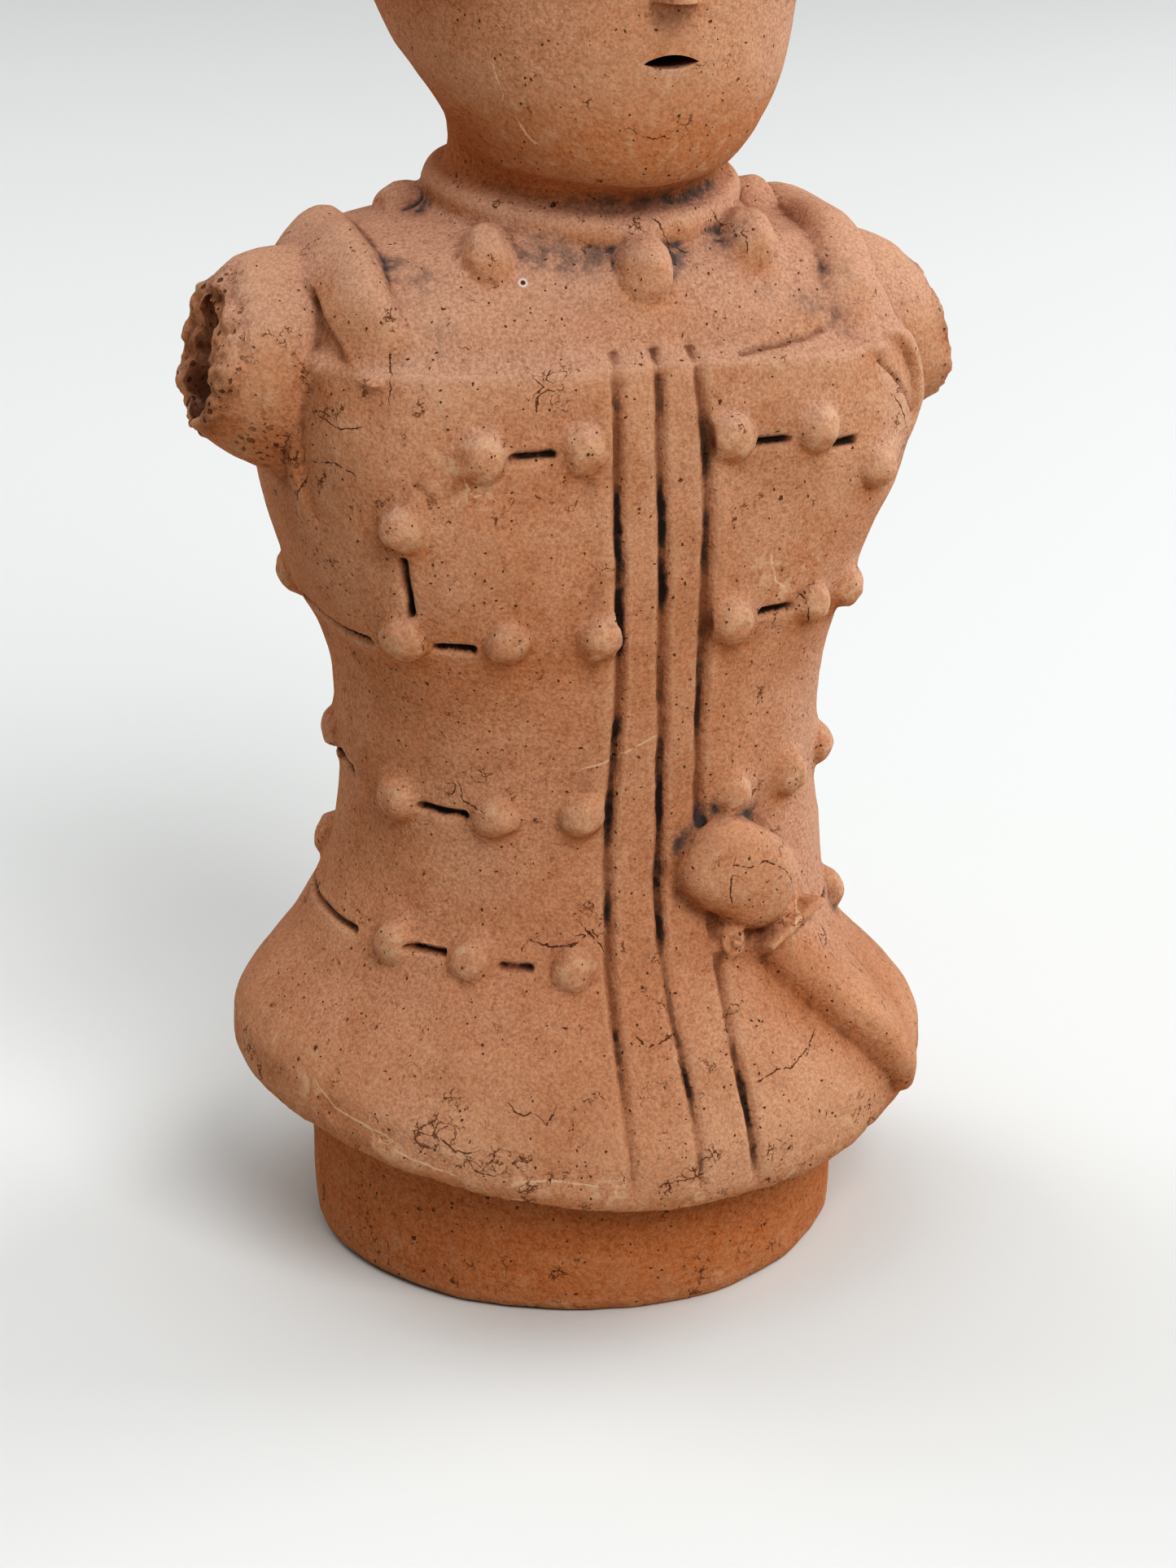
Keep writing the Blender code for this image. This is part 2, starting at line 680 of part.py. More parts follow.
def rim_level(turn):
    """The helmet's rim runs higher over the brow than at the back."""
    return (RIM_FRONT + RIM_BACK) / 2 + (RIM_FRONT - RIM_BACK) / 2 * math.cos(math.radians(turn))


def helmet_rim():
    """The band round the helmet, rounded above and below."""
    half = RIM_HEIGHT / 2
    outline = (
        (-half, -BITE), (-half, 0.7 * RIM_THICKNESS), (-0.5 * half, RIM_THICKNESS),
        (0.7 * half, RIM_THICKNESS), (half, -BITE),
    )
    rings = []
    for turn in turns(RIM_STATIONS):
        point, around, up, outwards = skin_frame(turn, rim_level(turn))
        rings.append([point + up * a + outwards * o for a, o in outline])
    return loft("clay_rim", rings, ring_shaped=True)


def helmet_keel():
    """The ridge over the helmet from the brow to the back of the rim."""
    path = [skin(0.0, level) for level in (249.0, 257.0, 265.0, 272.0, 277.0)]
    path.append(place(0, 0, CROWN_LEVEL))
    path += [skin(180.0, level) for level in (277.0, 272.0, 264.0, 255.0, 245.0)]
    across = Vector((1, 0, 0))
    stops = []
    for index, point in enumerate(path):
        ahead = (path[min(index + 1, len(path) - 1)] - path[max(index - 1, 0)]).normalized()
        stops.append((point, across, across.cross(ahead).normalized()))
    half = KEEL_WIDTH / 2
    rise = FIGURE_HEIGHT - height(CROWN_LEVEL)
    outline = (
        (-half, -BITE), (half, -BITE), (0.85 * half, 0.45 * rise),
        (0.4 * half, rise), (-0.4 * half, rise), (-0.85 * half, 0.45 * rise),
    )
    return band_along("clay_keel", stops, lambda index: outline)


def applied_clay(collection):
    """Everything that was rolled or pinched separately and pressed on."""
    helper(arm_stub("clay_right_arm", RIGHT_ARM, -1, RIGHT_BREAK_LEAN), collection)
    helper(arm_stub("clay_left_arm", LEFT_ARM, 1, LEFT_BREAK_LEAN), collection)
    helper(shoulder_strap("clay_right_strap", RIGHT_STRAP), collection)
    helper(shoulder_strap("clay_left_strap", LEFT_STRAP), collection)
    helper(necklace_rope(), collection)
    bead = dome_mesh("bead", BEAD_WIDTH / 2, BEAD_LENGTH / 2, BEAD_HEIGHT)
    for index, (turn, level) in enumerate(BEADS):
        pressed_on(f"clay_bead_{index + 1}", bead, turn, level, collection)
    stud = dome_mesh("stud", STUD_WIDTH / 2, STUD_WIDTH / 2, STUD_HEIGHT)
    for level, row in STUD_ROWS:
        for turn in row:
            pressed_on(f"clay_stud_{level:.0f}_{turn:.0f}", stud, turn, level, collection)
    sword(collection)
    helper(nose(), collection)
    helper(brow(), collection)
    helper(helmet_rim(), collection)
    helper(helmet_keel(), collection)
    small = STUD_WIDTH / 2 * RIM_STUD_SCALE
    rivet = dome_mesh("rim_stud", small, small, RIM_THICKNESS + STUD_HEIGHT * RIM_STUD_SCALE / 2)
    for turn in RIM_STUD_TURNS:
        pressed_on(f"clay_rim_stud_{turn:.0f}", rivet, turn, rim_level(turn), collection)


def cuts(collection):
    """The hollow, the pierced features, and the lines scored with a stick."""
    helper(hollow(), collection)
    helper(arm_bore("cut_right_arm", RIGHT_ARM, -1, RIGHT_BORE_DEPTH), collection)
    helper(arm_bore("cut_left_arm", LEFT_ARM, 1, LEFT_BORE_DEPTH), collection)
    face_cuts(collection)
    for name, row in FRONT_SCORES.items():
        route = list(zip(row, SCORE_LEVELS))
        helper(groove("cut_score_" + name, route, SCORE_WIDTH, SCORE_DEPTH), collection)
    for index, (level, first, last) in enumerate(SEAMS):
        helper(seam(f"cut_seam_{index + 1}", level, first, last), collection)
    turn, lower, upper = ARMHOLE_SLOT
    route = [(turn, lower), (turn, (lower + upper) / 2), (turn, upper)]
    helper(groove("cut_armhole_slot", route, SEAM_WIDTH, SEAM_DEPTH), collection)


def boolean(body, name, operation, collection):
    modifier = body.modifiers.new(name, "BOOLEAN")
    modifier.operation = operation
    modifier.operand_type = "COLLECTION"
    modifier.collection = collection
    modifier.solver = "EXACT"
    modifier.use_self = True


def main():
    clear_scene()
    clay = clay_material()
    added = bpy.data.collections.new("applied_clay")
    cut = bpy.data.collections.new("cuts")
    for collection in (added, cut):
        bpy.context.scene.collection.children.link(collection)
    body = body_skin()
    body.data.materials.append(clay)
    applied_clay(added)
    cuts(cut)
    boolean(body, "join_applied_clay", "UNION", added)
    boolean(body, "cut_lines_and_hollow", "DIFFERENCE", cut)


main()
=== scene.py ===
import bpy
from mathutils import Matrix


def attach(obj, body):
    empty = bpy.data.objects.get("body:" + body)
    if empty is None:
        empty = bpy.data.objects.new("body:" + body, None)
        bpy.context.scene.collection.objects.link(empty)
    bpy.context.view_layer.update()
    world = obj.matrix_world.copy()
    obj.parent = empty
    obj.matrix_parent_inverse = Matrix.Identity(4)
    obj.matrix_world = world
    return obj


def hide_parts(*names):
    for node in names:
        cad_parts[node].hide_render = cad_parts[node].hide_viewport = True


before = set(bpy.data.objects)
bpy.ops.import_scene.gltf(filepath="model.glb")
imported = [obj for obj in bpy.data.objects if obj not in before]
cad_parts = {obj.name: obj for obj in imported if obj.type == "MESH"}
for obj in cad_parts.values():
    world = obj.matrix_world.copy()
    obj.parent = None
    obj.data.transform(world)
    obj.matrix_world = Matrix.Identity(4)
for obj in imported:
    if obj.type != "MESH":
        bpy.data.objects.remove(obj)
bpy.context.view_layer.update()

# %% Modules and the unit of the drawing
import math
from itertools import product

import bmesh
import bpy
import numpy as np
from mathutils import Matrix, Vector

MM = 0.001

# %% [markdown]
# The camera comes first, because everything after it is judged through it. The
# photograph looks down on the figure by 21 degrees, from a little to its right
# and from so near that a long lens is needed. The picture is 1445 pixels wide
# and 1927 high, so the sensor's 36 mm lie along its height.
# %% Camera
CAMERA_LENS, CAMERA_SENSOR = 80.09, 36.0
CAMERA_TURN = math.radians(-22.0)
CAMERA_PITCH = math.radians(21.0)
CAMERA_ROLL = math.radians(0.6)
CAMERA_DISTANCE = 0.620
CAMERA_AIM_HEIGHT = 0.0813
CAMERA_SIDE = 0.00224
CLIP_START, CLIP_END = 0.01, 50.0

back = Vector((
    math.sin(CAMERA_TURN) * math.cos(CAMERA_PITCH),
    -math.cos(CAMERA_TURN) * math.cos(CAMERA_PITCH),
    math.sin(CAMERA_PITCH),
))
right = Vector((math.cos(CAMERA_TURN), math.sin(CAMERA_TURN), 0))
up = back.cross(right)
rolled_right = right * math.cos(CAMERA_ROLL) + up * math.sin(CAMERA_ROLL)
rolled_up = up * math.cos(CAMERA_ROLL) - right * math.sin(CAMERA_ROLL)
eye = Vector((0, 0, CAMERA_AIM_HEIGHT)) + right * CAMERA_SIDE + back * CAMERA_DISTANCE
bpy.ops.object.camera_add()
camera = bpy.context.active_object
camera.name = "photo_camera"
camera.data.lens = CAMERA_LENS
camera.data.sensor_width = CAMERA_SENSOR
camera.data.clip_start, camera.data.clip_end = CLIP_START, CLIP_END
camera.matrix_world = (
    Matrix.Translation(eye) @ Matrix((rolled_right, rolled_up, back)).transposed().to_4x4()
)
bpy.context.scene.camera = camera
print("camera height in mm:", round(eye.z * 1000))

# %% [markdown]
# The figure is a free form, so it is drawn as stations: at each level in
# millimetres, how far the clay reaches to the right, left, front and back, and
# how square the cross-section is. 2 is an ellipse and 3 a rounded box. A curve
# that never overshoots joins them, so the skin has no facets.
# %% The outline
SKIRT = (
    (23.5, 61, 62.8, 54, 54, 2), (27, 62.3, 64.4, 55.2, 55, 2), (32, 62.2, 64.3, 55, 54.4, 2),
    (38, 60.4, 60.9, 53.6, 53, 2), (45, 55.8, 54.9, 50.3, 50, 2.05), (52, 51, 49.3, 46, 45.8, 2.1),
    (60, 47.6, 45, 41.4, 41.3, 2.15), (68, 44.7, 43.8, 38.3, 38, 2.2),
)
CUIRASS = (
    (76, 42.6, 43, 36.8, 36.4, 2.25), (88, 41.8, 41.8, 36.2, 35.7, 2.3),
    (104, 42.1, 42, 36.5, 35.8, 2.45), (114, 44.6, 43, 37.2, 36.4, 2.65), (122, 48.4, 45.4, 38, 37, 2.85),
    (130, 51, 48.4, 38.4, 37.3, 3.05), (140, 53.4, 53, 38.5, 37.3, 3.2),
    (152, 54.8, 54.8, 38.2, 36.8, 3.3), (166, 53.6, 53.6, 37, 35.2, 3.2),
)
SHOULDERS = (
    (167.4, 53.2, 53.2, 34.9, 33.6, 3.1), (174, 51.6, 51, 31.8, 31.4, 3),
    (180, 48.5, 47.6, 28.3, 28.2, 2.6), (183.4, 42.5, 41.6, 25.6, 25.6, 2.3),
    (185.6, 29, 28.4, 24.6, 24.6, 2), (191, 23.2, 23, 22.6, 22.8, 2),
)
HEAD = (
    (194.6, 22.5, 22.5, 25.6, 21.6, 2), (197, 23.4, 23.4, 31.2, 21.2, 2), (204, 27.6, 27.6, 36, 22, 2),
    (210, 30.4, 30.4, 37.6, 26, 2.05), (216, 32.7, 32.7, 38, 32.5, 2.05),
    (221.5, 34.4, 34.4, 38, 39, 2.1), (226, 37, 37, 38, 43, 2.1), (230.5, 35.3, 35.3, 37.6, 38.8, 2.1),
    (246, 35.4, 35.4, 37, 38.5, 2.1), (258, 33.4, 33.4, 35, 36, 2.05), (266, 28.6, 28.6, 29.8, 30.6, 2),
    (273, 21.6, 21.6, 22.4, 23, 2), (278, 12.6, 12.6, 13, 13.4, 2),
)
CROWN_LEVEL = 280.2
STATIONS = np.array(SKIRT + CUIRASS + SHOULDERS + HEAD)


def joining_slopes(stations):
    """The slope at each station of a smooth curve that never overshoots."""
    gap = np.diff(stations[:, 0])[:, None]
    rise = np.diff(stations[:, 1:], axis=0) / gap
    before, after = rise[:-1], rise[1:]
    weight_before, weight_after = gap[:-1] + 2 * gap[1:], 2 * gap[:-1] + gap[1:]
    alike = before * after > 0
    safe_before, safe_after = np.where(alike, before, 1.0), np.where(alike, after, 1.0)
    mean = (weight_before + weight_after) / (weight_before / safe_before + weight_after / safe_after)
    return np.vstack([rise[:1], np.where(alike, mean, 0.0), rise[-1:]])


def along_stations(stations, at):
    """Every column of the stations at any value of the first one."""
    slopes = joining_slopes(stations)
    first = stations[:, 0]
    at = np.clip(at, first[0], first[-1])
    i = np.clip(np.searchsorted(first, at, side="right") - 1, 0, len(first) - 2)
    gap = (first[i + 1] - first[i])[..., None]
    s = (at - first[i])[..., None] / gap
    low, high = stations[i, 1:], stations[i + 1, 1:]
    return (
        (1 + 2 * s) * (1 - s) ** 2 * low + s * (1 - s) ** 2 * gap * slopes[i]
        + s * s * (3 - 2 * s) * high - s * s * (1 - s) * gap * slopes[i + 1]
    )


print("stations:", len(STATIONS), "levels from", STATIONS[0, 0], "to", STATIONS[-1, 0])

# %% [markdown]
# Every later step asks for a place on the skin by two numbers: the turn in
# degrees from the front, positive to the figure's left, and the level. The hem
# rises at both sides, the left shoulder hangs and the chin is lower than the
# jaw behind it, so the level is lifted or lowered there.
# %% A place on the skin
HEM_LIFT_RIGHT, HEM_LIFT_LEFT = 11.0, 4.0
HEM_LIFT_FROM, HEM_LIFT_TO = 32.0, 72.0
SHOULDER_DROP = 3.6
SHOULDER_DROP_FROM, SHOULDER_DROP_TO, SHOULDER_DROP_END = 148.0, 178.0, 191.0
CHIN_DROP, JAW_RISE = 3.8, 9.6
JAW_FROM, JAW_TO, JAW_LEAVES, JAW_END = 189.0, 199.0, 203.0, 213.0
JAW_POWER = 1.4
SKIN_STEP = 0.5


def ramp(value, start, end):
    """Rises from 0 at start to 1 at end."""
    return np.clip((value - start) / (end - start), 0.0, 1.0)


def lift(turn, level):
    """How far the skin is lifted at a turn and level, in mm."""
    side = np.sin(np.radians(turn))
    hem = ramp(level, HEM_LIFT_TO, HEM_LIFT_FROM) * np.where(side < 0, HEM_LIFT_RIGHT, HEM_LIFT_LEFT)
    drop = SHOULDER_DROP * ramp(level, SHOULDER_DROP_FROM, SHOULDER_DROP_TO)
    drop = drop * ramp(level, SHOULDER_DROP_END, SHOULDER_DROP_TO)
    jaw = ramp(level, JAW_FROM, JAW_TO) * ramp(level, JAW_END, JAW_LEAVES)
    jaw = jaw * (JAW_RISE * np.abs(np.sin(np.radians(turn) / 2)) ** JAW_POWER - CHIN_DROP)
    return side ** 2 * (hem - np.where(side > 0, drop, 0.0)) + jaw


def skin(turn, level, inset=0.0):
    """Points of the skin, or of one that lies inset millimetres within it."""
    turn, level = np.broadcast_arrays(np.asarray(turn, float), np.asarray(level, float))
    to_right, to_left, front, behind, square = np.moveaxis(along_stations(STATIONS, level), -1, 0)
    side, ahead = np.sin(np.radians(turn)), np.cos(np.radians(turn))
    half_width = np.where(side < 0, to_right, to_left) - inset
    half_depth = (front + behind) / 2 - inset
    reach = (np.abs(side / half_width) ** square + np.abs(ahead / half_depth) ** square) ** (-1 / square)
    y = (behind - front) / 2 - ahead * reach
    return np.stack([side * reach, y, level + lift(turn, level)], -1) * MM


def unit(vectors):
    return vectors / np.linalg.norm(vectors, axis=-1, keepdims=True)


def skin_frame(turn, level):
    """A place on the skin with its directions around, up the skin and outwards."""
    around = unit(skin(turn + SKIN_STEP, level) - skin(turn - SKIN_STEP, level))
    rising = unit(skin(turn, level + SKIN_STEP) - skin(turn, level - SKIN_STEP))
    outwards = unit(np.cross(around, rising))
    return skin(turn, level), around, np.cross(outwards, around), outwards


print("front of the waist in mm:", np.round(skin(0.0, 90.0) / MM, 1))

# %% [markdown]
# Most pieces of clay here are rolled or coiled: a body, arms, straps, a sword.
# Each starts as a disc that is extruded ring by ring in edit mode, as a potter
# stacks coils. Then every ring is moved to the outline that it should have.
# %% Rods and rings of clay
def deselect():
    bpy.ops.object.select_all(action="DESELECT")


def move_vertices(made, places):
    made.data.vertices.foreach_set("co", np.ascontiguousarray(places, np.float32).ravel())
    made.data.update()


def vertices_of(made):
    places = np.empty(len(made.data.vertices) * 3, np.float32)
    made.data.vertices.foreach_get("co", places)
    return places.reshape(-1, 3).astype(float)


def circle(sides):
    """Equal steps round a circle, in radians."""
    return np.radians(np.arange(sides) * 360.0 / sides)


def rod(name, rings):
    """A closed rod through rings of points, an array of ring by side by 3."""
    rings = np.asarray(rings)
    count, sides = rings.shape[:2]
    deselect()
    bpy.ops.mesh.primitive_circle_add(vertices=sides, radius=1.0, fill_type="NGON")
    made = bpy.context.active_object
    made.name = name
    bpy.ops.object.mode_set(mode="EDIT")
    for _ in range(count - 1):
        bpy.ops.mesh.extrude_region_move(TRANSFORM_OT_translate={"value": (0, 0, 1)})
    bpy.ops.object.mode_set(mode="OBJECT")
    places = vertices_of(made)
    side = np.round(np.arctan2(places[:, 0], -places[:, 1]) / (2 * math.pi) * sides).astype(int) % sides
    ring = np.round(places[:, 2]).astype(int)
    move_vertices(made, rings[ring, side])
    return made


def closed_ring(name, rings):
    """A ring of clay whose last outline joins the first."""
    rings = np.asarray(rings)
    count, sides = rings.shape[:2]
    deselect()
    bpy.ops.mesh.primitive_torus_add(
        major_segments=count, minor_segments=sides, major_radius=2.0, minor_radius=0.5
    )
    made = bpy.context.active_object
    made.name = name
    places = vertices_of(made)
    around = np.arctan2(places[:, 0], -places[:, 1])
    out = np.hypot(places[:, 0], places[:, 1]) - 2.0
    roll = np.arctan2(places[:, 2], out)
    ring = np.round(around / (2 * math.pi) * count).astype(int) % count
    side = np.round(roll / (2 * math.pi) * sides).astype(int) % sides
    move_vertices(made, rings[ring, side])
    return made


# %% [markdown]
# The body is one rod from the foot to the crown. The foot is a slightly waisted
# tube, and the hem of the skirt stands out over it like a lip.
# %% Foot, skirt, cuirass, shoulders and head
BODY_SIDES = 180
BODY_STEP = 1.7
FOOT_HALF_WIDTH, FOOT_HALF_DEPTH, FOOT_HEIGHT = 48.5, 46.0, 28.0
FOOT_PROFILE = (
    (0, 0.955), (0.7, 0.972), (2.2, 0.984), (7, 0.988), (13, 0.988), (20, 0.993),
)
HEM_LIP, HEM_LIP_RISE = 3.6, 0.72
CROWN_RINGS = ((278.8, 0.8), (279.6, 0.5), (280.0, 0.22))
body_turns = np.degrees(circle(BODY_SIDES))


def foot_ring(level, share, inset=0.0, turns=body_turns):
    side, ahead = np.sin(np.radians(turns)), np.cos(np.radians(turns))
    half_width, half_depth = FOOT_HALF_WIDTH * share - inset, FOOT_HALF_DEPTH * share - inset
    reach = ((side / half_width) ** 2 + (ahead / half_depth) ** 2) ** -0.5
    return np.stack([side * reach, -ahead * reach, np.full_like(side, level)], -1) * MM


body_rings = [foot_ring(level, share) for level, share in FOOT_PROFILE]
foot_joint = foot_ring(FOOT_HEIGHT, 1.0)
foot_joint[:, 2] += lift(body_turns, 0.0) * MM
body_rings.append(foot_joint)
hem = STATIONS[0, 0]
body_rings.append(skin(body_turns, hem + HEM_LIP_RISE, HEM_LIP))
body_rings.append(skin(body_turns, hem + 0.2 * HEM_LIP_RISE, 0.5 * HEM_LIP))
body_levels = np.unique(np.concatenate([STATIONS[:, 0], np.arange(hem, STATIONS[-1, 0], BODY_STEP)]))
body_rings += [skin(body_turns, level) for level in body_levels]
for level, share in CROWN_RINGS:
    ring = skin(body_turns, STATIONS[-1, 0]) * (share, share, 1.0)
    ring[:, 2] = level * MM
    body_rings.append(ring)
body = rod("body", body_rings)
lumps = [body]
print("body rings:", len(body_rings), "vertices:", len(body.data.vertices))

# %% [markdown]
# The arms are stumps. Each is an oval rod that swells at the shoulder and
# narrows to the break, which leans. Rods are smooth here; the rough break and
# the hole in the right stump are worked in when all clay is one piece.
# %% Arms
ARM_SIDES, ARM_RINGS = 40, 26
RIGHT_ARM = np.array((
    (38, 163, 17, 14.5), (52, 162.5, 19.5, 16.5),
    (59, 163.5, 17.2, 15.4), (66, 165, 11.8, 12.2),
))
LEFT_ARM = np.array((
    (38, 163, 16, 14.5), (50, 160.5, 17.6, 16),
    (58, 159.6, 15.4, 14.6), (64.8, 158.8, 11.6, 11.8),
))
ARMS = (("right_arm", RIGHT_ARM, -1, 0.2), ("left_arm", LEFT_ARM, 1, 0.15))


def arm(name, stations, side, lean):
    reach = np.linspace(stations[0, 0], stations[-1, 0], ARM_RINGS)
    middle, half_height, half_depth = np.moveaxis(along_stations(stations, reach), -1, 0)
    roll = circle(ARM_SIDES)
    rise = half_height[:, None] * np.cos(roll)
    depth = half_depth[:, None] * np.sin(roll)
    leaning = lean * ramp(reach, stations[-2, 0], stations[-1, 0])[:, None]
    out = reach[:, None] - leaning * rise
    return rod(name, np.stack([side * out, depth, middle[:, None] + rise], -1) * MM)


for stump in ARMS:
    lumps.append(arm(*stump))
print("arm vertices:", len(lumps[-1].data.vertices))

# %% [markdown]
# Straps, a rolled necklace and flattened beads are laid on the shoulders. A
# strap is a rod whose outline is a low, rounded band. It is set across the path
# that it follows, and pressed a little into the clay below.
# %% Straps
BITE = 1.6
BAND_SIDES = 20
STRAP_RINGS = 60
STRAP_HALF_WIDTH, STRAP_END_WIDTH, STRAP_TAPER = 6.0, 0.78, 0.3
STRAP_WAVES, STRAP_DIP = 5, 0.16
STRAP_END_RISE, STRAP_THINS = -0.25, 0.24
LEVEL_SEARCH = 150.0, 191.0
SEARCH_STEPS = 30
RIGHT_STRAP = (
    (-56.5, 42.8), (-61.5, 44.6), (-69.5, 45.9), (-84, 45.8), (-97, 45), (-111, 44.2),
    (-118, 43.4), (-122.5, 42.8),
)
LEFT_STRAP = (
    (49, 36.8), (54, 37.4), (61, 38.8), (75, 40.2), (95, 41.2), (111, 41.2), (120, 40.6),
    (126, 39.6),
)


def level_at_x(turn, out):
    """The level above the armpit at which the skin lies out mm from the middle plane."""
    low, high = (np.full_like(turn, level) for level in LEVEL_SEARCH)
    for _ in range(SEARCH_STEPS):
        middle = (low + high) / 2
        wider = np.abs(skin(turn, middle)[:, 0]) > out * MM
        low, high = np.where(wider, middle, low), np.where(wider, high, middle)
    return (low + high) / 2


def smooth_route(points, count):
    """A route of points, each of any number of values, made smooth and evenly long."""
    points = np.asarray(points, float)
    stops = np.column_stack([np.arange(len(points)), points])
    return along_stations(stops, np.linspace(0, len(points) - 1, count))


def crosswise(places, outwards):
    """The direction across a route at each of its places."""
    ahead = np.gradient(places, axis=0)
    return unit(np.cross(ahead, outwards))


def band(name, places, across, outwards, half_width, rise, bite=BITE, squareness=0.75, lean=0.0):
    """A rod with a rounded top, sunk into the skin by bite, in mm. Lean moves its crest across."""
    roll = circle(BAND_SIDES)
    flat = np.sign(np.cos(roll)) * np.abs(np.cos(roll)) ** squareness
    raised = np.sign(np.sin(roll)) * np.abs(np.sin(roll)) ** squareness
    half_width = np.broadcast_to(half_width, len(places))[:, None, None]
    raised_by = raised * (1 + lean * flat)
    height = np.where(raised > 0, np.broadcast_to(rise, len(places))[:, None] * raised_by, bite * raised)
    return rod(
        name,
        places[:, None] + across[:, None] * flat[:, None] * half_width * MM
        + outwards[:, None] * height[..., None] * MM,
    )


def laid_band(name, route, half_width, rise, **shape):
    """A band that follows a route of turns and levels over the skin."""
    places, _, _, outwards = skin_frame(*route)
    return band(name, places, crosswise(places, outwards), outwards, half_width, rise, **shape)


def strap(name, route, rise, slant, lean):
    """A strap over one shoulder. It thins out where it meets the cuirass."""
    turn, out = smooth_route(route, STRAP_RINGS).T
    places, _, _, outwards = skin_frame(turn, level_at_x(turn, out))
    across = crosswise(places, outwards)
    ahead = np.cross(outwards, across)
    outwards = unit(outwards * (slant, 1, 1))
    across = unit(np.cross(ahead, outwards))
    share = np.linspace(0, 1, STRAP_RINGS)
    swell = 1.0 - STRAP_DIP * np.sin(share * math.pi * STRAP_WAVES) ** 2
    from_end = ramp(np.minimum(share, 1 - share), 0.0, STRAP_THINS)
    swell = swell * (STRAP_END_RISE + (1 - STRAP_END_RISE) * from_end)
    half = STRAP_HALF_WIDTH * (STRAP_END_WIDTH + (1 - STRAP_END_WIDTH) * ramp(share, 0.0, STRAP_TAPER))
    return band(name, places, across, outwards, half, rise * swell, squareness=0.95, lean=lean)


lumps.append(strap("right_strap", RIGHT_STRAP, 3.0, 0.8, 0.7))
lumps.append(strap("left_strap", LEFT_STRAP, 3.6, 0.5, -0.3))
strap_ends = np.array((RIGHT_STRAP[0], LEFT_STRAP[0]))
print("strap levels in front:", np.round(level_at_x(*strap_ends.T), 1))

# %% The edges of the armholes
EDGES = (
    # name, route, half width, rise
    ("right_edge", (
        (-71, 167.5), (-74.5, 164.5), (-77, 158), (-77.5, 150), (-76, 142), (-73, 136)), 2.3, 1.1),
    ("left_edge", (
        (53, 169), (58, 168), (62.5, 164.8), (65.5, 158.5), (66, 152), (63, 147)), 1.8, 1.7),
)
EDGE_RINGS, EDGE_FADE, EDGE_LEAST_RISE = 30, 0.25, 0.2
for name, route, half, rise in EDGES:
    share = np.linspace(0, 1, EDGE_RINGS)
    rise = EDGE_LEAST_RISE + rise * ramp(np.minimum(share, 1 - share), 0.0, EDGE_FADE)
    lumps.append(laid_band(name, smooth_route(route, EDGE_RINGS).T, half, rise))
print("armhole edges:", lumps[-2].name, lumps[-1].name)

# %% Necklace
NECKLACE_RADIUS, ROPE_RADIUS = 23.4, 3.4
NECKLACE_FRONT, NECKLACE_BACK = 185.0, 190.0
NECKLACE_RINGS, NECKLACE_SIDES = 120, 20
necklace_turns = circle(NECKLACE_RINGS)
side, ahead = np.sin(necklace_turns), np.cos(necklace_turns)
necklace_level = NECKLACE_BACK - (NECKLACE_BACK - NECKLACE_FRONT) * (0.5 + 0.5 * ahead) ** 2
thickness = ROPE_RADIUS * (1 + 0.05 * np.sin(necklace_turns * 5 + 1) + 0.03 * np.sin(necklace_turns * 11))
roll = circle(NECKLACE_SIDES)
from_middle = NECKLACE_RADIUS + thickness[:, None] * np.cos(roll)
lumps.append(closed_ring("necklace", np.stack([
    side[:, None] * from_middle, -ahead[:, None] * from_middle,
    necklace_level[:, None] + thickness[:, None] * np.sin(roll),
], -1) * MM))
print("necklace from level", necklace_level.min(), "to", necklace_level.max())

# %% [markdown]
# Beads and rivets are pellets pinched from clay and pressed on, so no two are
# quite alike. One ball is modelled for all. Each copy has a mesh of its own, and
# seeded chance gives it its own width, height and lean.
# %% Beads and rivets
STUD_HALF_WIDTH, STUD_RISE = 4.3, 3.3
BEAD_HALF_WIDTH, BEAD_HALF_LENGTH, BEAD_RISE = 5.3, 6.2, 4.5
RIM_STUD_SHARE = 0.72
PELLET_SEGMENTS, PELLET_RINGS = 28, 16
# least and greatest share of the width, length and rise, and lean in degrees
STUD_VARIES = ((0.93, 0.93, 0.85, -40), (1.08, 1.06, 1.1, 40))
BEAD_VARIES = ((0.93, 0.95, 0.92, -12), (1.05, 1.05, 1.08, 12))
BEAD_SUNK = 0.4
chance = np.random.default_rng(7)
deselect()
bpy.ops.mesh.primitive_uv_sphere_add(segments=PELLET_SEGMENTS, ring_count=PELLET_RINGS, radius=1.0)
pellet = bpy.context.active_object
pellet.name = "pellet"
deselect()


def frame_matrix(turn, level):
    point, around, rising, outwards = skin_frame(turn, level)
    axes = np.eye(4)
    axes[:3, 0], axes[:3, 1], axes[:3, 2], axes[:3, 3] = around, rising, outwards, point
    return axes


def press_on(name, turn, level, half_width, half_length, rise, lean=0.0, sunk=0.35, square=0.93):
    """A flattened ball on the skin, in mm. Part of it is sunk into the clay."""
    made = pellet.copy()
    made.data = pellet.data.copy()
    made.name = name
    bpy.context.scene.collection.objects.link(made)
    ball = vertices_of(made)
    ball = np.sign(ball) * np.abs(ball) ** square
    height = rise / (1 - sunk)
    size = np.array((half_width, half_length, height))
    ball = ball * size - (0, 0, sunk * height)
    turn_by = Matrix.Rotation(math.radians(lean), 3, "Z")
    ball = ball @ np.array(turn_by).T * MM
    axes = frame_matrix(turn, level)
    move_vertices(made, ball @ axes[:3, :3].T + axes[:3, 3])
    return made


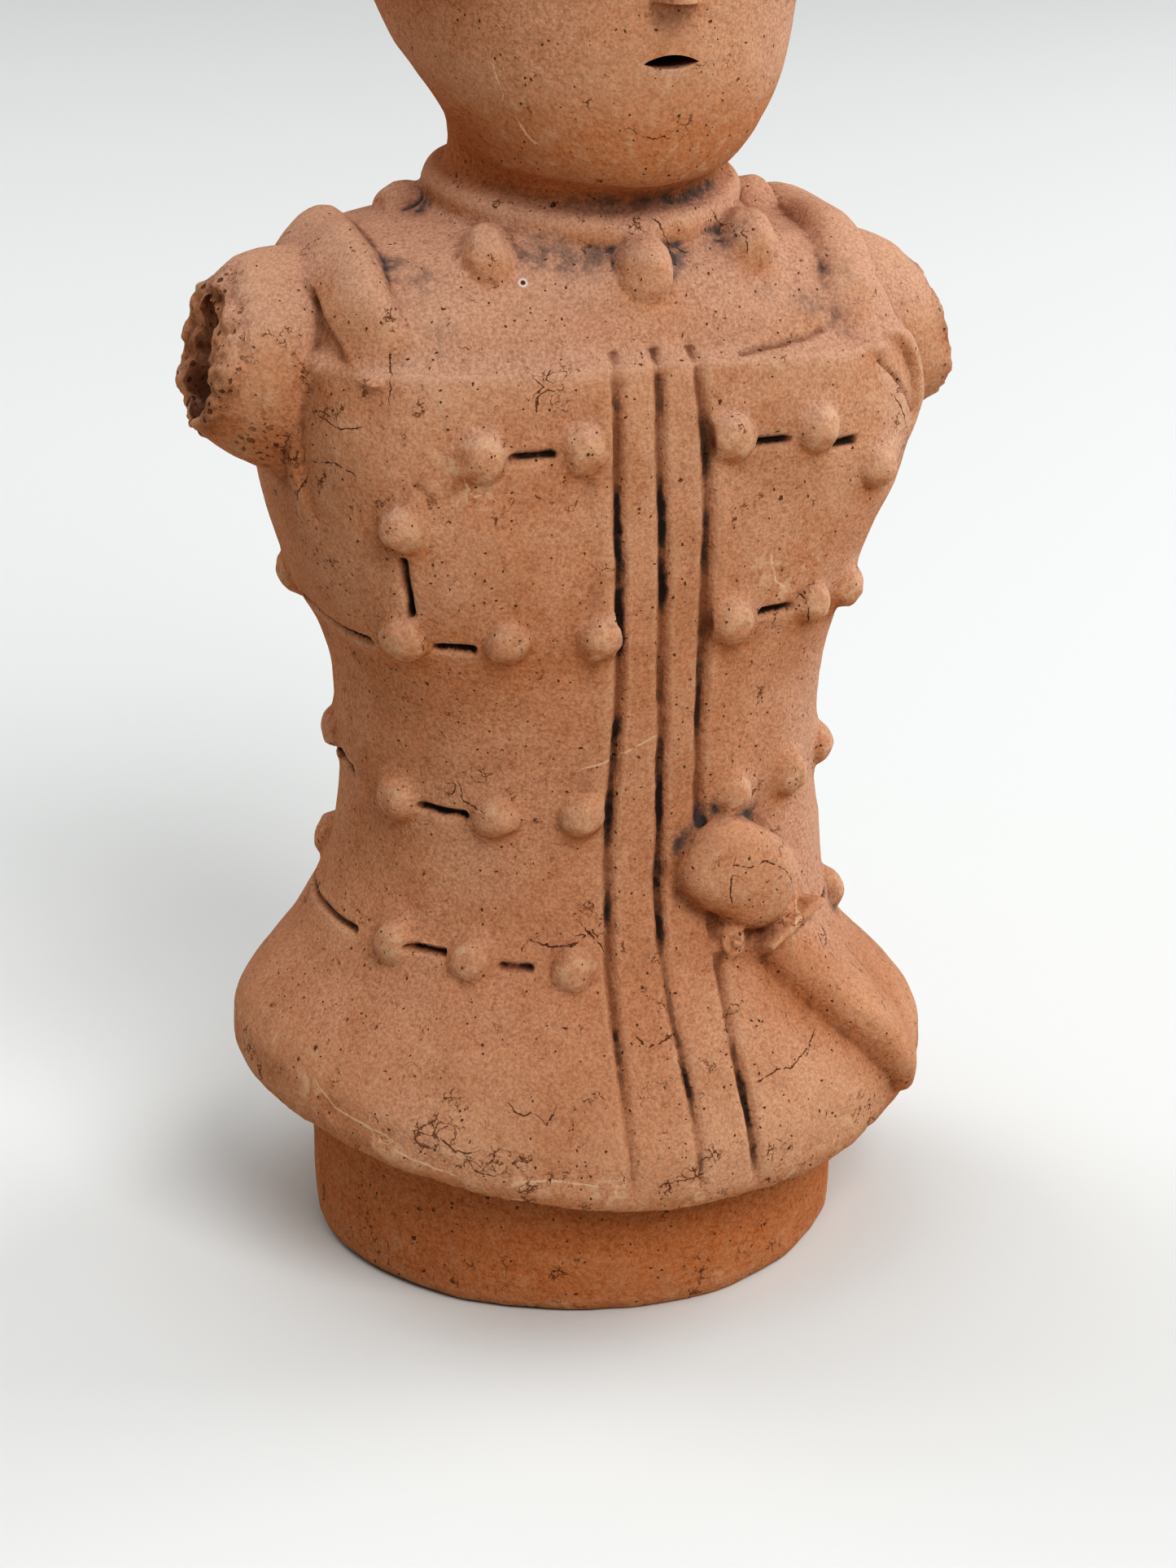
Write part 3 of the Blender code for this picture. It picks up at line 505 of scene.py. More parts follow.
STUD_ROWS = (
    (153.7, (-41, -21, 17, 37, 150, 172, -164, -142)), (145, (51,)),
    (141.8, (-54, 126, -126)), (122.2, (-57, -37, -16.5, 18.5, 41, 55, 80)),
    (121, (108, 137, 166, -165, -136, -110)),
    (90, (-67, -41, -20.5, 23, 44, 67)),
    (93, (-106, 96, 124, 152, 180, -152, -128)), (63.6, (-63.5, -45.5, -22)),
    (59.5, (72,)), (70, (-115, 112, 144, 176, -150)),
)
BEADS = (
    (-104, 185.3), (-48, 183.2), (-1, 180.2), (41, 183.6), (88, 185.2), (134, 183.6), (178, 181),
    (-150, 183.4),
)
for level, row in STUD_ROWS:
    for turn in row:
        wide, long, high, lean = chance.uniform(*STUD_VARIES)
        lumps.append(press_on(
            f"stud_{level:.0f}_{turn:.0f}", turn, level,
            STUD_HALF_WIDTH * wide, STUD_HALF_WIDTH * long, STUD_RISE * high, lean,
        ))
for index, (turn, level) in enumerate(BEADS):
    wide, long, high, lean = chance.uniform(*BEAD_VARIES)
    lumps.append(press_on(
        f"bead_{index + 1}", turn, level,
        BEAD_HALF_WIDTH * wide, BEAD_HALF_LENGTH * long, BEAD_RISE * high, lean, BEAD_SUNK,
    ))
print("pellets:", sum(len(row) for level, row in STUD_ROWS), "rivets and", len(BEADS), "beads")

# %% [markdown]
# The sword hangs across the left of the skirt: a swollen pommel, a small knob
# under the grip, a thin guard that stands on edge, and a tapering scabbard.
# %% Sword
POMMEL_TURN, POMMEL_LEVEL, POMMEL_TILT = 23.5, 76.3, -34.0
POMMEL_HALF = (12.6, 8.9, 6.8)
KNOB_TURN, KNOB_LEVEL, KNOB_HALF = 19.0, 64.3, 3.3
GUARD = ((25.5, 61.6), (31.5, 63.4), (38.5, 65), (45.5, 66.2))
GUARD_HALF_WIDTH, GUARD_RISE = 1.15, 5.4
SCABBARD = (
    (36, 67, 8.4, 3), (42, 58.5, 9.2, 3.7), (47, 50.5, 9.2, 4.1), (51, 43, 8.4, 4.1),
    (54, 35.5, 7.2, 3.4), (56.5, 28.5, 5.4, 1.8),
)
GUARD_RINGS, SCABBARD_RINGS, SCABBARD_LEAN = 24, 40, 0.85
lumps.append(press_on(
    "pommel", POMMEL_TURN, POMMEL_LEVEL, *POMMEL_HALF, lean=POMMEL_TILT, sunk=0.0, square=0.74,
))
lumps.append(press_on("knob", KNOB_TURN, KNOB_LEVEL, KNOB_HALF, KNOB_HALF, KNOB_HALF, sunk=0.3))
lumps.append(laid_band("guard", smooth_route(GUARD, GUARD_RINGS).T, GUARD_HALF_WIDTH, GUARD_RISE))
turn, level, half, rise = smooth_route(SCABBARD, SCABBARD_RINGS).T
lumps.append(laid_band(
    "scabbard", (turn, level), half, rise, squareness=0.95, lean=SCABBARD_LEAN,
))
print("sword from level", POMMEL_LEVEL, "down to", SCABBARD[-1][1])

# %% [markdown]
# The face is a plain schematic one: a wedge for the nose, one low ridge for
# both brows, and almond slits that are pierced later. The helmet is a cap with
# a riveted band round it and a keel over the top.
# %% Nose, brow and helmet
NOSE = ((223.6, 4.4, 6.4), (228, 3.6, 5.6), (236, 2.6, 3.8), (244, 2.2, 2.4))
NOSE_RINGS, BROW_RINGS, KEEL_RINGS = 24, 48, 60
BROW_LEVEL, BROW_DROP, BROW_HALF_TURN = 244.5, 3.4, 46.0
BROW_HALF, BROW_FADE = 1.9, 0.9
RIM_FRONT, RIM_BACK = 251.0, 243.0
RIM_HALF, RIM_THICKNESS, RIM_SQUARENESS = 3.5, 1.7, 0.6
RIM_STUD_RISE = 2.9
RIM_RINGS, RIM_SIDES = 120, 16
RIM_STUD_TURNS = (22, 67, 112, 158, -158, -112, -67, -22)
KEEL_HALF_WIDTH, KEEL_RISE = 3.75, 1.8
KEEL_LEVELS = (249, 253, 257, 261, 265, 269, 272, 275, 277)

level, half, rise = smooth_route(NOSE, NOSE_RINGS).T
sideways = np.tile((1.0, 0, 0), (NOSE_RINGS, 1))
forwards = np.tile((0, -1.0, 0), (NOSE_RINGS, 1))
lumps.append(band("nose", skin(0.0, level), sideways, forwards, half, rise, squareness=0.95))
share = np.linspace(-1, 1, BROW_RINGS)
places, _, rising, outwards = skin_frame(share * BROW_HALF_TURN, BROW_LEVEL - BROW_DROP * share ** 2)
lumps.append(band("brow", places, rising, outwards, BROW_HALF, BROW_HALF - BROW_FADE * np.abs(share)))


def rim_level(turn):
    middle, swing = (RIM_FRONT + RIM_BACK) / 2, (RIM_FRONT - RIM_BACK) / 2
    return middle + swing * np.cos(np.radians(turn))


rim_turns = np.degrees(circle(RIM_RINGS))
places, _, rising, outwards = skin_frame(rim_turns, rim_level(rim_turns))
roll = circle(RIM_SIDES)
flat = np.sign(np.cos(roll)) * np.abs(np.cos(roll)) ** RIM_SQUARENESS
rounded = RIM_THICKNESS * np.abs(np.sin(roll)) ** RIM_SQUARENESS
raised = np.where(np.sin(roll) > 0, rounded, BITE * np.sin(roll))
lumps.append(closed_ring(
    "rim",
    places[:, None] - rising[:, None] * flat[:, None] * RIM_HALF * MM
    + outwards[:, None] * raised[:, None] * MM,
))
half = STUD_HALF_WIDTH * RIM_STUD_SHARE
for turn in RIM_STUD_TURNS:
    lumps.append(press_on(f"rim_stud_{turn:.0f}", turn, rim_level(turn), half, half, RIM_STUD_RISE))
keel = [skin(0.0, level) for level in KEEL_LEVELS]
keel.append(np.array((0, 0, CROWN_LEVEL * MM)))
keel += [skin(180.0, level) for level in KEEL_LEVELS[::-1]]
places = smooth_route(keel, KEEL_RINGS)
sideways = np.tile((1.0, 0, 0), (KEEL_RINGS, 1))
outwards = unit(np.cross(sideways, np.gradient(places, axis=0)))
lumps.append(band("keel", places, sideways, outwards, KEEL_HALF_WIDTH, KEEL_RISE))
bpy.data.objects.remove(pellet)
print("lumps of clay:", len(lumps))

# %% [markdown]
# Wet clay has no seams where it is pressed on. The lumps are joined, then a
# voxel remesh makes them one skin and a few rounds of smoothing soften every
# place where two lumps meet, as a wet finger does.
# %% One skin of clay
VOXEL = 0.55 * MM
SOFTEN_ROUNDS = 5


def use(made):
    deselect()
    made.select_set(True)
    bpy.context.view_layer.objects.active = made


def finish_with(made, kind, **settings):
    """Puts one modifier on an object and applies it."""
    modifier = made.modifiers.new(kind.title(), kind)
    for name, value in settings.items():
        setattr(modifier, name, value)
    use(made)
    bpy.ops.object.modifier_apply(modifier=modifier.name)


def edit_all(made, operation, **settings):
    """Runs one operation of edit mode on the whole of an object."""
    use(made)
    bpy.ops.object.mode_set(mode="EDIT")
    bpy.ops.mesh.select_all(action="SELECT")
    operation(**settings)
    bpy.ops.object.mode_set(mode="OBJECT")


for lump in lumps:
    lump.select_set(True)
bpy.context.view_layer.objects.active = body
bpy.ops.object.join()
clay = bpy.context.active_object
clay.name = "clay_figure"
edit_all(clay, bpy.ops.mesh.normals_make_consistent, inside=False)
finish_with(clay, "REMESH", mode="VOXEL", voxel_size=VOXEL, adaptivity=0.0)
finish_with(clay, "SMOOTH", factor=0.5, iterations=SOFTEN_ROUNDS)
print("one skin:", len(clay.data.vertices), "vertices")

# %% [markdown]
# The rest of the form is worked into that skin with vertex moves, because it is
# made of shallow, uneven marks. Each mark is a depth over the skin, so every
# vertex needs its own turn and level, and noise makes the marks uneven.
# %% Where each vertex is, and seeded noise
TURN_ROUNDS = 7
LINE_REACH, LINE_FADE = 7.0, 0.8


def normals_of(made):
    normals = np.empty(len(made.data.vertices) * 3, np.float32)
    made.data.vertex_normals.foreach_get("vector", normals)
    return normals.reshape(-1, 3).astype(float)


def turn_and_level(places):
    """The turn and level of places on or near the skin, found by trying again and again."""
    x, y, z = (places / MM).T
    level = z.copy()
    for _ in range(TURN_ROUNDS):
        front, behind = np.moveaxis(along_stations(STATIONS, level)[..., 2:4], -1, 0)
        turn = np.degrees(np.arctan2(x, (behind - front) / 2 - y))
        level = z - lift(turn, level)
    return turn, level


def noise(places, size, seed):
    """Smooth noise from -1 to 1, with lumps of that size in millimetres."""
    at = places / (size * MM)
    cell = np.floor(at).astype(np.int64)
    share = at - cell
    share = share * share * (3 - 2 * share)
    total = np.zeros(len(places))
    for corner in product((0, 1), repeat=3):
        x, y, z = (cell + corner).T
        code = (x * 73856093 ^ y * 19349663 ^ z * 83492791 ^ seed * 2654435761) & 0xFFFFFFFF
        code = ((code ^ (code >> 15)) * 1274126177) & 0xFFFFFFFF
        value = ((code ^ (code >> 13)) & 0xFFFF) / 32767.5 - 1.0
        weight = np.prod(np.where(corner, share, 1 - share), axis=1)
        total += value * weight
    return total


def smooth_step(value, start, end):
    """Like ramp, but it starts and ends softly."""
    share = ramp(value, start, end)
    return share * share * (3 - 2 * share)


def off_line(points, places, normals, over=0.0):
    """Signed distance in mm from a line over the skin, and 1 where a place is beside the line.

    A piece of clay that lies up to over mm above the skin carries the line too.
    """
    stops, _, _, outwards = skin_frame(*np.array(points, float).T)
    signed, nearest = np.full((2, len(places)), LINE_REACH)
    beside = np.zeros(len(places))
    for start, end, out in zip(stops[:-1], stops[1:], outwards):
        ahead = end - start
        along = ((places - start) @ ahead) / (ahead @ ahead)
        off = places - start - np.clip(along, 0, 1)[:, None] * ahead
        off = off - np.clip(off @ out, 0, over * MM)[:, None] * out
        far = np.linalg.norm(off, axis=1) / MM
        side = np.cross(ahead, off)
        side = np.sign((side * normals).sum(1))
        past = np.abs(along - np.clip(along, 0, 1)) * np.linalg.norm(ahead) / MM
        closer = far < nearest
        nearest = np.where(closer, far, nearest)
        signed = np.where(closer, side * far, signed)
        beside = np.where(closer, np.clip(1 - past / LINE_FADE, 0, 1), beside)
    return signed, beside


places, normals = vertices_of(clay), normals_of(clay)
turn, level = turn_and_level(places)
x_mm, y_mm, z_mm = (places / MM).T
rough = noise(places, 9.0, 1)
fine = noise(places, 3.0, 2)
finest = noise(places, 1.3, 3)
print("levels found from", round(level.min(), 1), "to", round(level.max(), 1))

# %% [markdown]
# Three long scores run down the front opening, and short dashes join the
# rivets. A stick drawn through clay leaves a rounded valley with a small burr
# at each side, deeper in some places and missing in others.
# %% Scored lines
SCORE_HALF_WIDTH, SCORE_DEPTH = 1.3, 1.6
SEAM_HALF_WIDTH, SEAM_DEPTH = 1.0, 1.5
VALLEY_POWER = 1.2
BURR, BURR_AT, BURR_WIDTH = 0.16, 1.25, 0.4
FRONT_SCORES = (
    # level, turn, share of the full depth
    ((166.5, 9.3, 0.5), (163, 9.5, 0.9), (147, 11, 1), (128, 11.2, 1), (108, 11.8, 1),
     (88, 13.2, 0.9), (80, 14.2, 0.3), (64, 15.6, 0.35), (60, 14.9, 0.8), (50, 13.2, 0.7),
     (42, 12.4, 1.15), (33, 12.6, 1.15), (28, 13, 0.5), (25, 13.4, 0)),
    ((166.5, -1.7, 0.5), (163, -1.5, 1), (147, -1, 1), (128, 0.1, 1), (108, 1, 0.9),
     (88, 1.7, 1), (68, 1, 0.9), (63, 0.8, 0.4), (57, 0.8, 0.5), (43, 1.3, 0.8),
     (33, 1.8, 0.7), (27.5, 2, 0.2), (25, 2.2, 0)),
    ((166.5, -13.2, 0.5), (164, -13, 0.9), (147, -12.3, 1), (128, -11.3, 1), (108, -11.2, 1),
     (88, -12.6, 1), (72, -13, 1), (58, -12.8, 1), (50, -12.3, 0.7), (43, -11.9, 0.5),
     (33, -11.2, 0.5), (27.5, -10.5, 0.3), (25, -10.3, 0)),
)
SEAMS = (
    (153.5, -35, -28), (152.5, 23, 30), (150.5, 41, 45), (120.8, -50.5, -44), (122.6, 27, 34),
    (89.5, -60, -49), (64, -58.5, -52), (63.3, -38, -32), (61.5, 58, 64), (120, -98, -66),
    (90, -112, -86), (62, -112, -76), (120.5, 62, 72), (90.5, 76, 88), (121, 117, 127), (121, 174, 184),
    (93, 133, 143), (70, 154, 165),
)
ARMHOLE_SLOT = (-54.5, 127, 136)
OPENING_TURN, OPENING_TOP, OPENING_FOOT = 30.0, 168.5, 23.0
PRESSED_OVER, BARE = 2.2, 1.0


def valley(distance, half_width):
    """1 in the middle of a scored line and 0 past its edges."""
    return np.clip(1 - (distance / half_width) ** 2, 0, 1) ** VALLEY_POWER


def burr(distance, half_width):
    """1 on the clay that the stick pushed up beside a line."""
    return np.exp(-((distance / half_width - BURR_AT) / BURR_WIDTH) ** 2)


def over_skin(places, turn, level):
    """How far places lie outside the plain body, in mm."""
    return ((places - skin(turn, level)) * unit(places * (1, 1, 0))).sum(1) / MM


def front_opening():
    """1 where the long scores may run: in front, and not on what is pressed over them."""
    there = (np.abs(turn) < OPENING_TURN) & (level < OPENING_TOP) & (level > OPENING_FOOT)
    return there * smooth_step(over_skin(places, turn, level), PRESSED_OVER, BARE)


def off_score(stops):
    """How far places lie to the left of a long score, in mm, and how deep it is at their level."""
    line_turn, depth = along_stations(np.array(stops[::-1]), level).T
    return x_mm - skin(line_turn, level)[:, 0] / MM, depth


def off_seam(seam_level, first, last):
    """How far places lie past the ends of a dash and above it, in mm."""
    middle, half = (first + last) / 2, (last - first) / 2
    along = (turn - middle + 180) % 360 - 180
    return np.maximum(np.abs(along) - half, 0) * degree, level - seam_level


def off_slot(slot_turn, low, high):
    """The same for the upright dash by the armhole."""
    past = np.maximum(np.abs(level - (low + high) / 2) - (high - low) / 2, 0)
    return past, (turn - slot_turn) * degree


degree = np.hypot(x_mm, y_mm) * math.pi / 180
in_front = front_opening()
carved, raised = np.zeros((2, len(places)))
for index, stops in enumerate(FRONT_SCORES):
    distance, depth = off_score(stops)
    distance = np.abs(distance + 0.22 * noise(places, 7.0, 20 + index) + 0.1 * finest)
    depth = depth * (0.85 + 0.25 * noise(places, 11.0, 30 + index)) * in_front
    carved = np.maximum(carved, depth * valley(distance, SCORE_HALF_WIDTH))
    raised = np.maximum(raised, depth * burr(distance, SCORE_HALF_WIDTH) * (0.5 + 0.5 * fine))
carved *= SCORE_DEPTH
for index, seam in enumerate(SEAMS):
    past, across = off_seam(*seam)
    distance = np.hypot(past, across + 0.3 * noise(places, 5.0, 50 + index))
    depth = SEAM_DEPTH * valley(distance, SEAM_HALF_WIDTH) * (0.9 + 0.2 * rough)
    carved = np.maximum(carved, depth)
    raised = np.maximum(raised, 0.7 * burr(distance, SEAM_HALF_WIDTH) * (0.5 + 0.5 * fine))
past, across = off_slot(*ARMHOLE_SLOT)
distance = np.hypot(past, across + 0.25 * fine)
carved = np.maximum(carved, SEAM_DEPTH * valley(distance, SEAM_HALF_WIDTH))
INCISED = (
    # places as turn and level, half width, depth
    (((22, 167), (28, 167.6), (34, 168), (40, 168.8), (44.5, 169.6)), 0.8, 0.7),
    (((9.5, 82.5), (13, 84.6), (18, 86.8), (23, 87.6)), 1, 0.9),
    (((-49, 146.5), (-51.5, 149.5)), 1, 0.5),
    (((52, 163.8), (55.5, 160.5), (60, 156), (63.5, 152)), 0.55, 0.7),
)
for points, half, depth in INCISED:
    away, beside = off_line(points, places, normals)
    carved = np.maximum(carved, depth * beside * valley(np.abs(away + 0.25 * fine), half))
RIDGES = (
    # places as turn and level, half width, rise
    (((-44, 152), (-48, 150), (-51.5, 147), (-53.5, 143)), 1.8, 0.7),
    (((-16.2, 152), (-15.6, 140), (-14.6, 122), (-15, 104), (-16.4, 92)), 1.7, 0.55),
    (((-14.5, 160), (-15.2, 152)), 1.6, 0.3),
    (((-77, 99.8), (-84, 93), (-86, 88.5), (-78, 86.5), (-72, 87)), 1.6, 0.6),
    (((14.6, 152), (15.6, 134), (15.4, 112), (16.4, 96)), 1.5, 0.35),
)
ridge = np.zeros(len(places))
for points, half, rise in RIDGES:
    away, beside = off_line(points, places, normals)
    ridge = np.maximum(ridge, rise * beside * np.exp(-(away / half) ** 2) * (0.85 + 0.3 * rough))
knob, knob_around, knob_up, knob_out = skin_frame(KNOB_TURN, KNOB_LEVEL)
curl_x, curl_y = ((places - knob) @ knob_around) / MM, ((places - knob) @ knob_up) / MM
curl_turn = (np.arctan2(curl_y, curl_x) / (2 * math.pi)) % 1.0
curl_off = np.abs(np.hypot(curl_x, curl_y) - (0.6 + 1.7 * curl_turn))
on_knob = np.linalg.norm(places - knob, axis=1) < 5.0 * MM
carved = np.maximum(carved, 0.75 * on_knob * valley(curl_off, 0.75))
push = BURR * raised + ridge - carved
print("vertices in scored lines:", int((carved > 0.1).sum()))

# %% Pellets blend into the wall and are lumpy themselves
FOOT_OF_STUD, STUD_LUMPS = 0.3, 0.45
pressed = [(turn_at, level_at, STUD_HALF_WIDTH) for level_at, row in STUD_ROWS for turn_at in row]
pressed += [(turn_at, level_at, 0.9 * BEAD_HALF_LENGTH) for turn_at, level_at in BEADS]
lumpy = 0.6 * noise(places, 3.2, 40) + 0.5 * noise(places, 1.5, 41)
for turn_at, level_at, half in pressed:
    far = np.linalg.norm(places - skin(turn_at, level_at), axis=1) / MM
    foot = np.exp(-((far - half - 0.5) / 1.1) ** 2) * (0.7 + 0.6 * rough)
    push = push + FOOT_OF_STUD * foot * (carved < 0.15)
    push = push + STUD_LUMPS * lumpy * smooth_step(-far, -half - 1, -half + 1)
print("pellets blended:", len(pressed))

# %% [markdown]
# The clay was patted and wiped by hand, so the skin is nowhere quite even.
# Broad and small swellings are added, and chips bite into the worn hem.
# %% Unevenness, wear and the broken arms
SWELLING = ((26.0, 0.55), (11.0, 0.28), (5.0, 0.12), (2.2, 0.06))
HEM_CHIP, HEM_CHIP_LEVEL, HEM_CHIP_BAND = 0.9, 26.5, 4.0
BREAK_ROUGHNESS, LEFT_BREAK_ROUGHNESS = 1.3, 0.585
BREAK_CREST, BREAK_EDGE = 4.0, 0.6
for index, (size, swell) in enumerate(SWELLING):
    push = push + swell * noise(places, size, 60 + index)
near_hem = np.exp(-((level - HEM_CHIP_LEVEL) / HEM_CHIP_BAND) ** 2)
chips = np.clip(noise(places, 6.0, 70) + 0.5 * noise(places, 2.6, 71) - 0.35, 0, 1)
push = push - HEM_CHIP * near_hem * chips * (level > 22)


def break_share(stations, side, lean):
    """How near a place is to the broken face of an arm: 1 on it and 0 further in."""
    end, middle = stations[-1, 0], stations[-1, 1]
    face_x = end - lean * (z_mm - middle)
    return smooth_step(side * x_mm, face_x - BREAK_CREST, face_x - BREAK_EDGE)


broken_right, broken_left = [break_share(*stump[1:]) for stump in ARMS]
crumbs = 0.7 * noise(places, 4.2, 80) + 0.4 * noise(places, 1.9, 81) + 0.25 * noise(places, 1.0, 82)
crumbs = crumbs - 0.9 * np.clip(noise(places, 2.3, 83), 0, 1)
push = push + BREAK_ROUGHNESS * crumbs * broken_right
push = push + LEFT_BREAK_ROUGHNESS * crumbs * broken_left
worked = places + normals * push[:, None] * MM
worked[:, 2] = np.maximum(worked[:, 2], 0.0)
move_vertices(clay, worked)
print("greatest push in mm:", round(float(np.abs(push).max()), 2))

# %% [markdown]
# A flat wall needs few faces and a worn edge many. Decimating keeps the edges
# and thins the rest, so that the whole figure stays light.
# %% Fewer faces
SKIN_TRIANGLES = 172000
triangles = sum(len(face.vertices) - 2 for face in clay.data.polygons)
finish_with(clay, "DECIMATE", ratio=min(1.0, SKIN_TRIANGLES / triangles))
print("triangles:", triangles, "thinned to", sum(len(face.vertices) - 2 for face in clay.data.polygons))

# %% [markdown]
# The figure is hollow, built up as a wall about 7 mm thick. The space inside is
# a rod of its own, and the mouth, the eyes and the hole in the right arm are
# shorter ones. One Boolean takes them all out of the clay.
# %% The hollow and the pierced holes
WALL = 7.0
HOLLOW_SIDES = 48
BODY_HOLLOW = (54, 60, 66, 74, 82, 92, 104, 112, 120, 130, 144, 156, 166, 172, 176)
NECK_HOLLOW, NECK_HALF_WIDTH = (182.0, 190.0, 197.0), 16.2
HEAD_HOLLOW = (206, 214, 222, 232, 242, 254, 262, 266)
HOLLOW_TOP = 269.0
hollow_turns = np.degrees(circle(HOLLOW_SIDES))
FOOT_HOLLOW = (-WALL, 0.5, 14.0, FOOT_HEIGHT, 40.0)
hollow_rings = [foot_ring(level, 1.0, WALL, hollow_turns) for level in FOOT_HOLLOW]
hollow_rings += [skin(hollow_turns, level, WALL) for level in BODY_HOLLOW]
side, ahead = np.sin(np.radians(hollow_turns)), np.cos(np.radians(hollow_turns))
for level in NECK_HOLLOW:
    ring = np.stack([NECK_HALF_WIDTH * side, -NECK_HALF_WIDTH * ahead, np.full_like(side, level)], -1)
    hollow_rings.append(ring * MM)
hollow_rings += [skin(hollow_turns, level, WALL) for level in HEAD_HOLLOW]
last = hollow_rings[-1].copy()
last[:, :2] *= 0.5
last[:, 2] = HOLLOW_TOP * MM
hollow_rings.append(last)
cutters = [rod("inside", hollow_rings)]
print("rings of the hollow:", len(hollow_rings))

# %% Holes in the arms
BORE_SIDES, BORE_RINGS = 36, 40
BORE_HALF_WIDTH, BORE_HALF_HEIGHT = 5.4, 8.6
BORE_START, BORE_DEPTH, DENT_DEPTH = 6.0, 30.0, 6.5
BORE_NARROW, BORE_FLARE, FLARE_FROM, FLARE_TO = 0.8, 0.35, -9.0, 2.0


def bore(name, stations, side, depth):
    """A ragged hole from outside the break inwards."""
    reach, middle = stations[-1, :2]
    share = np.linspace(0, 1, BORE_RINGS)
    out = reach + BORE_START - share * (depth + BORE_START)
    flare = BORE_NARROW + BORE_FLARE * smooth_step(out, reach + FLARE_FROM, reach + FLARE_TO)
    roll = circle(BORE_SIDES)
    rise = BORE_HALF_HEIGHT * flare[:, None] * np.cos(roll)
    depth_y = BORE_HALF_WIDTH * flare[:, None] * np.sin(roll)
    ring = np.stack(np.broadcast_arrays(side * out[:, None], depth_y, middle + rise), -1) * MM
    flat = ring.reshape(-1, 3)
    ragged = 0.22 * noise(flat, 4.2, 90) + 0.16 * noise(flat, 1.9, 91) + 0.08 * noise(flat, 0.9, 92)
    axis = flat.copy()
    axis[:, 1], axis[:, 2] = 0, middle * MM
    return rod(name, (axis + (flat - axis) * (1 + ragged[:, None])).reshape(ring.shape))


cutters.append(bore("right_bore", RIGHT_ARM, -1, BORE_DEPTH))
cutters.append(bore("left_dent", LEFT_ARM, 1, DENT_DEPTH))
print("holes in the arms in mm:", BORE_DEPTH, "and", DENT_DEPTH, "deep")

# %% Mouth and eyes
MOUTH_LEVEL, MOUTH_WIDTH, MOUTH_HEIGHT = 214.3, 9.2, 2.5
EYE_LEVEL, EYE_OUT, EYE_SPLAY, EYE_WIDTH, EYE_HEIGHT = 237.5, 14.5, 0.32, 11.5, 3.2
SLIT_STEPS, SLIT_SAG, SLIT_POWER = 14, 0.75, 0.8
SLIT_RINGS, SLIT_END = 6, -2.6 * WALL


def slit(name, point, width, height, outwards):
    """A pierced slit with pointed ends, flatter below, from outside to the hollow."""
    across = unit(np.cross((0, 0, 1.0), outwards))
    share = np.linspace(-1, 1, SLIT_STEPS + 1)
    bow = np.column_stack([share * width / 2, height / 2 * np.cos(share * math.pi / 2) ** SLIT_POWER])
    below = bow[-2:0:-1] * (1, -SLIT_SAG)
    outline = np.vstack([bow, below])
    rings = [
        point + (outline[:, :1] * across + outline[:, 1:] * (0, 0, 1.0) + outwards * depth) * MM
        for depth in np.linspace(WALL, SLIT_END, SLIT_RINGS)
    ]
    return rod(name, rings)


def turn_at_x(out, level):
    """The turn on the front half at which the skin lies out mm from the middle plane."""
    turns = np.linspace(0, 90, 901)
    reach = skin(turns, level)[:, 0] / MM
    return math.copysign(float(np.interp(abs(out), reach, turns)), out)


forwards = np.array((0, -1.0, 0))
cutters.append(slit("mouth_slit", skin(0.0, MOUTH_LEVEL), MOUTH_WIDTH, MOUTH_HEIGHT, forwards))
for name, side in (("left", 1), ("right", -1)):
    point = skin(turn_at_x(side * EYE_OUT, EYE_LEVEL), EYE_LEVEL)
    outwards = unit(np.array((EYE_SPLAY * side, -1.0, 0)))
    cutters.append(slit(f"{name}_eye_slit", point, EYE_WIDTH, EYE_HEIGHT, outwards))
hidden = bpy.data.collections.new("cutters")
bpy.context.scene.collection.children.link(hidden)
for cutter in cutters:
    edit_all(cutter, bpy.ops.mesh.normals_make_consistent, inside=False)
    for holder in list(cutter.users_collection):
        holder.objects.unlink(cutter)
    hidden.objects.link(cutter)
finish_with(
    clay, "BOOLEAN", operation="DIFFERENCE", operand_type="COLLECTION", collection=hidden,
    solver="EXACT", use_self=False,
)
for cutter in cutters:
    bpy.data.objects.remove(cutter)
bpy.data.collections.remove(hidden)
print("hollowed:", sum(len(face.vertices) - 2 for face in clay.data.polygons), "triangles")

# %% [markdown]
# The finish follows the form: hollows are painted darker, as painted shade, and
# raised places wear pale. So the form is measured once and kept as attributes of
# the vertices, which the material reads wherever the figure is seen from.
# %% Tidy the skin and measure hollows and crests
MERGE = 0.00001
NEAR_ROUNDS, WIDE_ROUNDS = 6, 40
edit_all(clay, bpy.ops.mesh.remove_doubles, threshold=MERGE)
places, normals = vertices_of(clay), normals_of(clay)
edges = np.empty(len(clay.data.edges) * 2, np.int32)
clay.data.edges.foreach_get("vertices", edges)
edges = edges.reshape(-1, 2)
neighbours = np.bincount(edges.ravel(), minlength=len(places))


def averaged(values, rounds):
    """Values spread over the skin by averaging each with its neighbours."""
    values = values.reshape(len(places), -1)
    for _ in range(rounds):
        total = np.zeros_like(values)
        for column in range(values.shape[1]):
            total[:, column] = np.bincount(
                edges[:, 0], values[edges[:, 1], column], len(places)
            ) + np.bincount(edges[:, 1], values[edges[:, 0], column], len(places))
        values = 0.5 * values + 0.5 * total / np.maximum(neighbours, 1)[:, None]
    return values


def hollowness(rounds):
    """How far the skin lies within its own average, in mm. Below 0 it is a crest."""
    return ((averaged(places, rounds) - places) * normals).sum(1) / MM


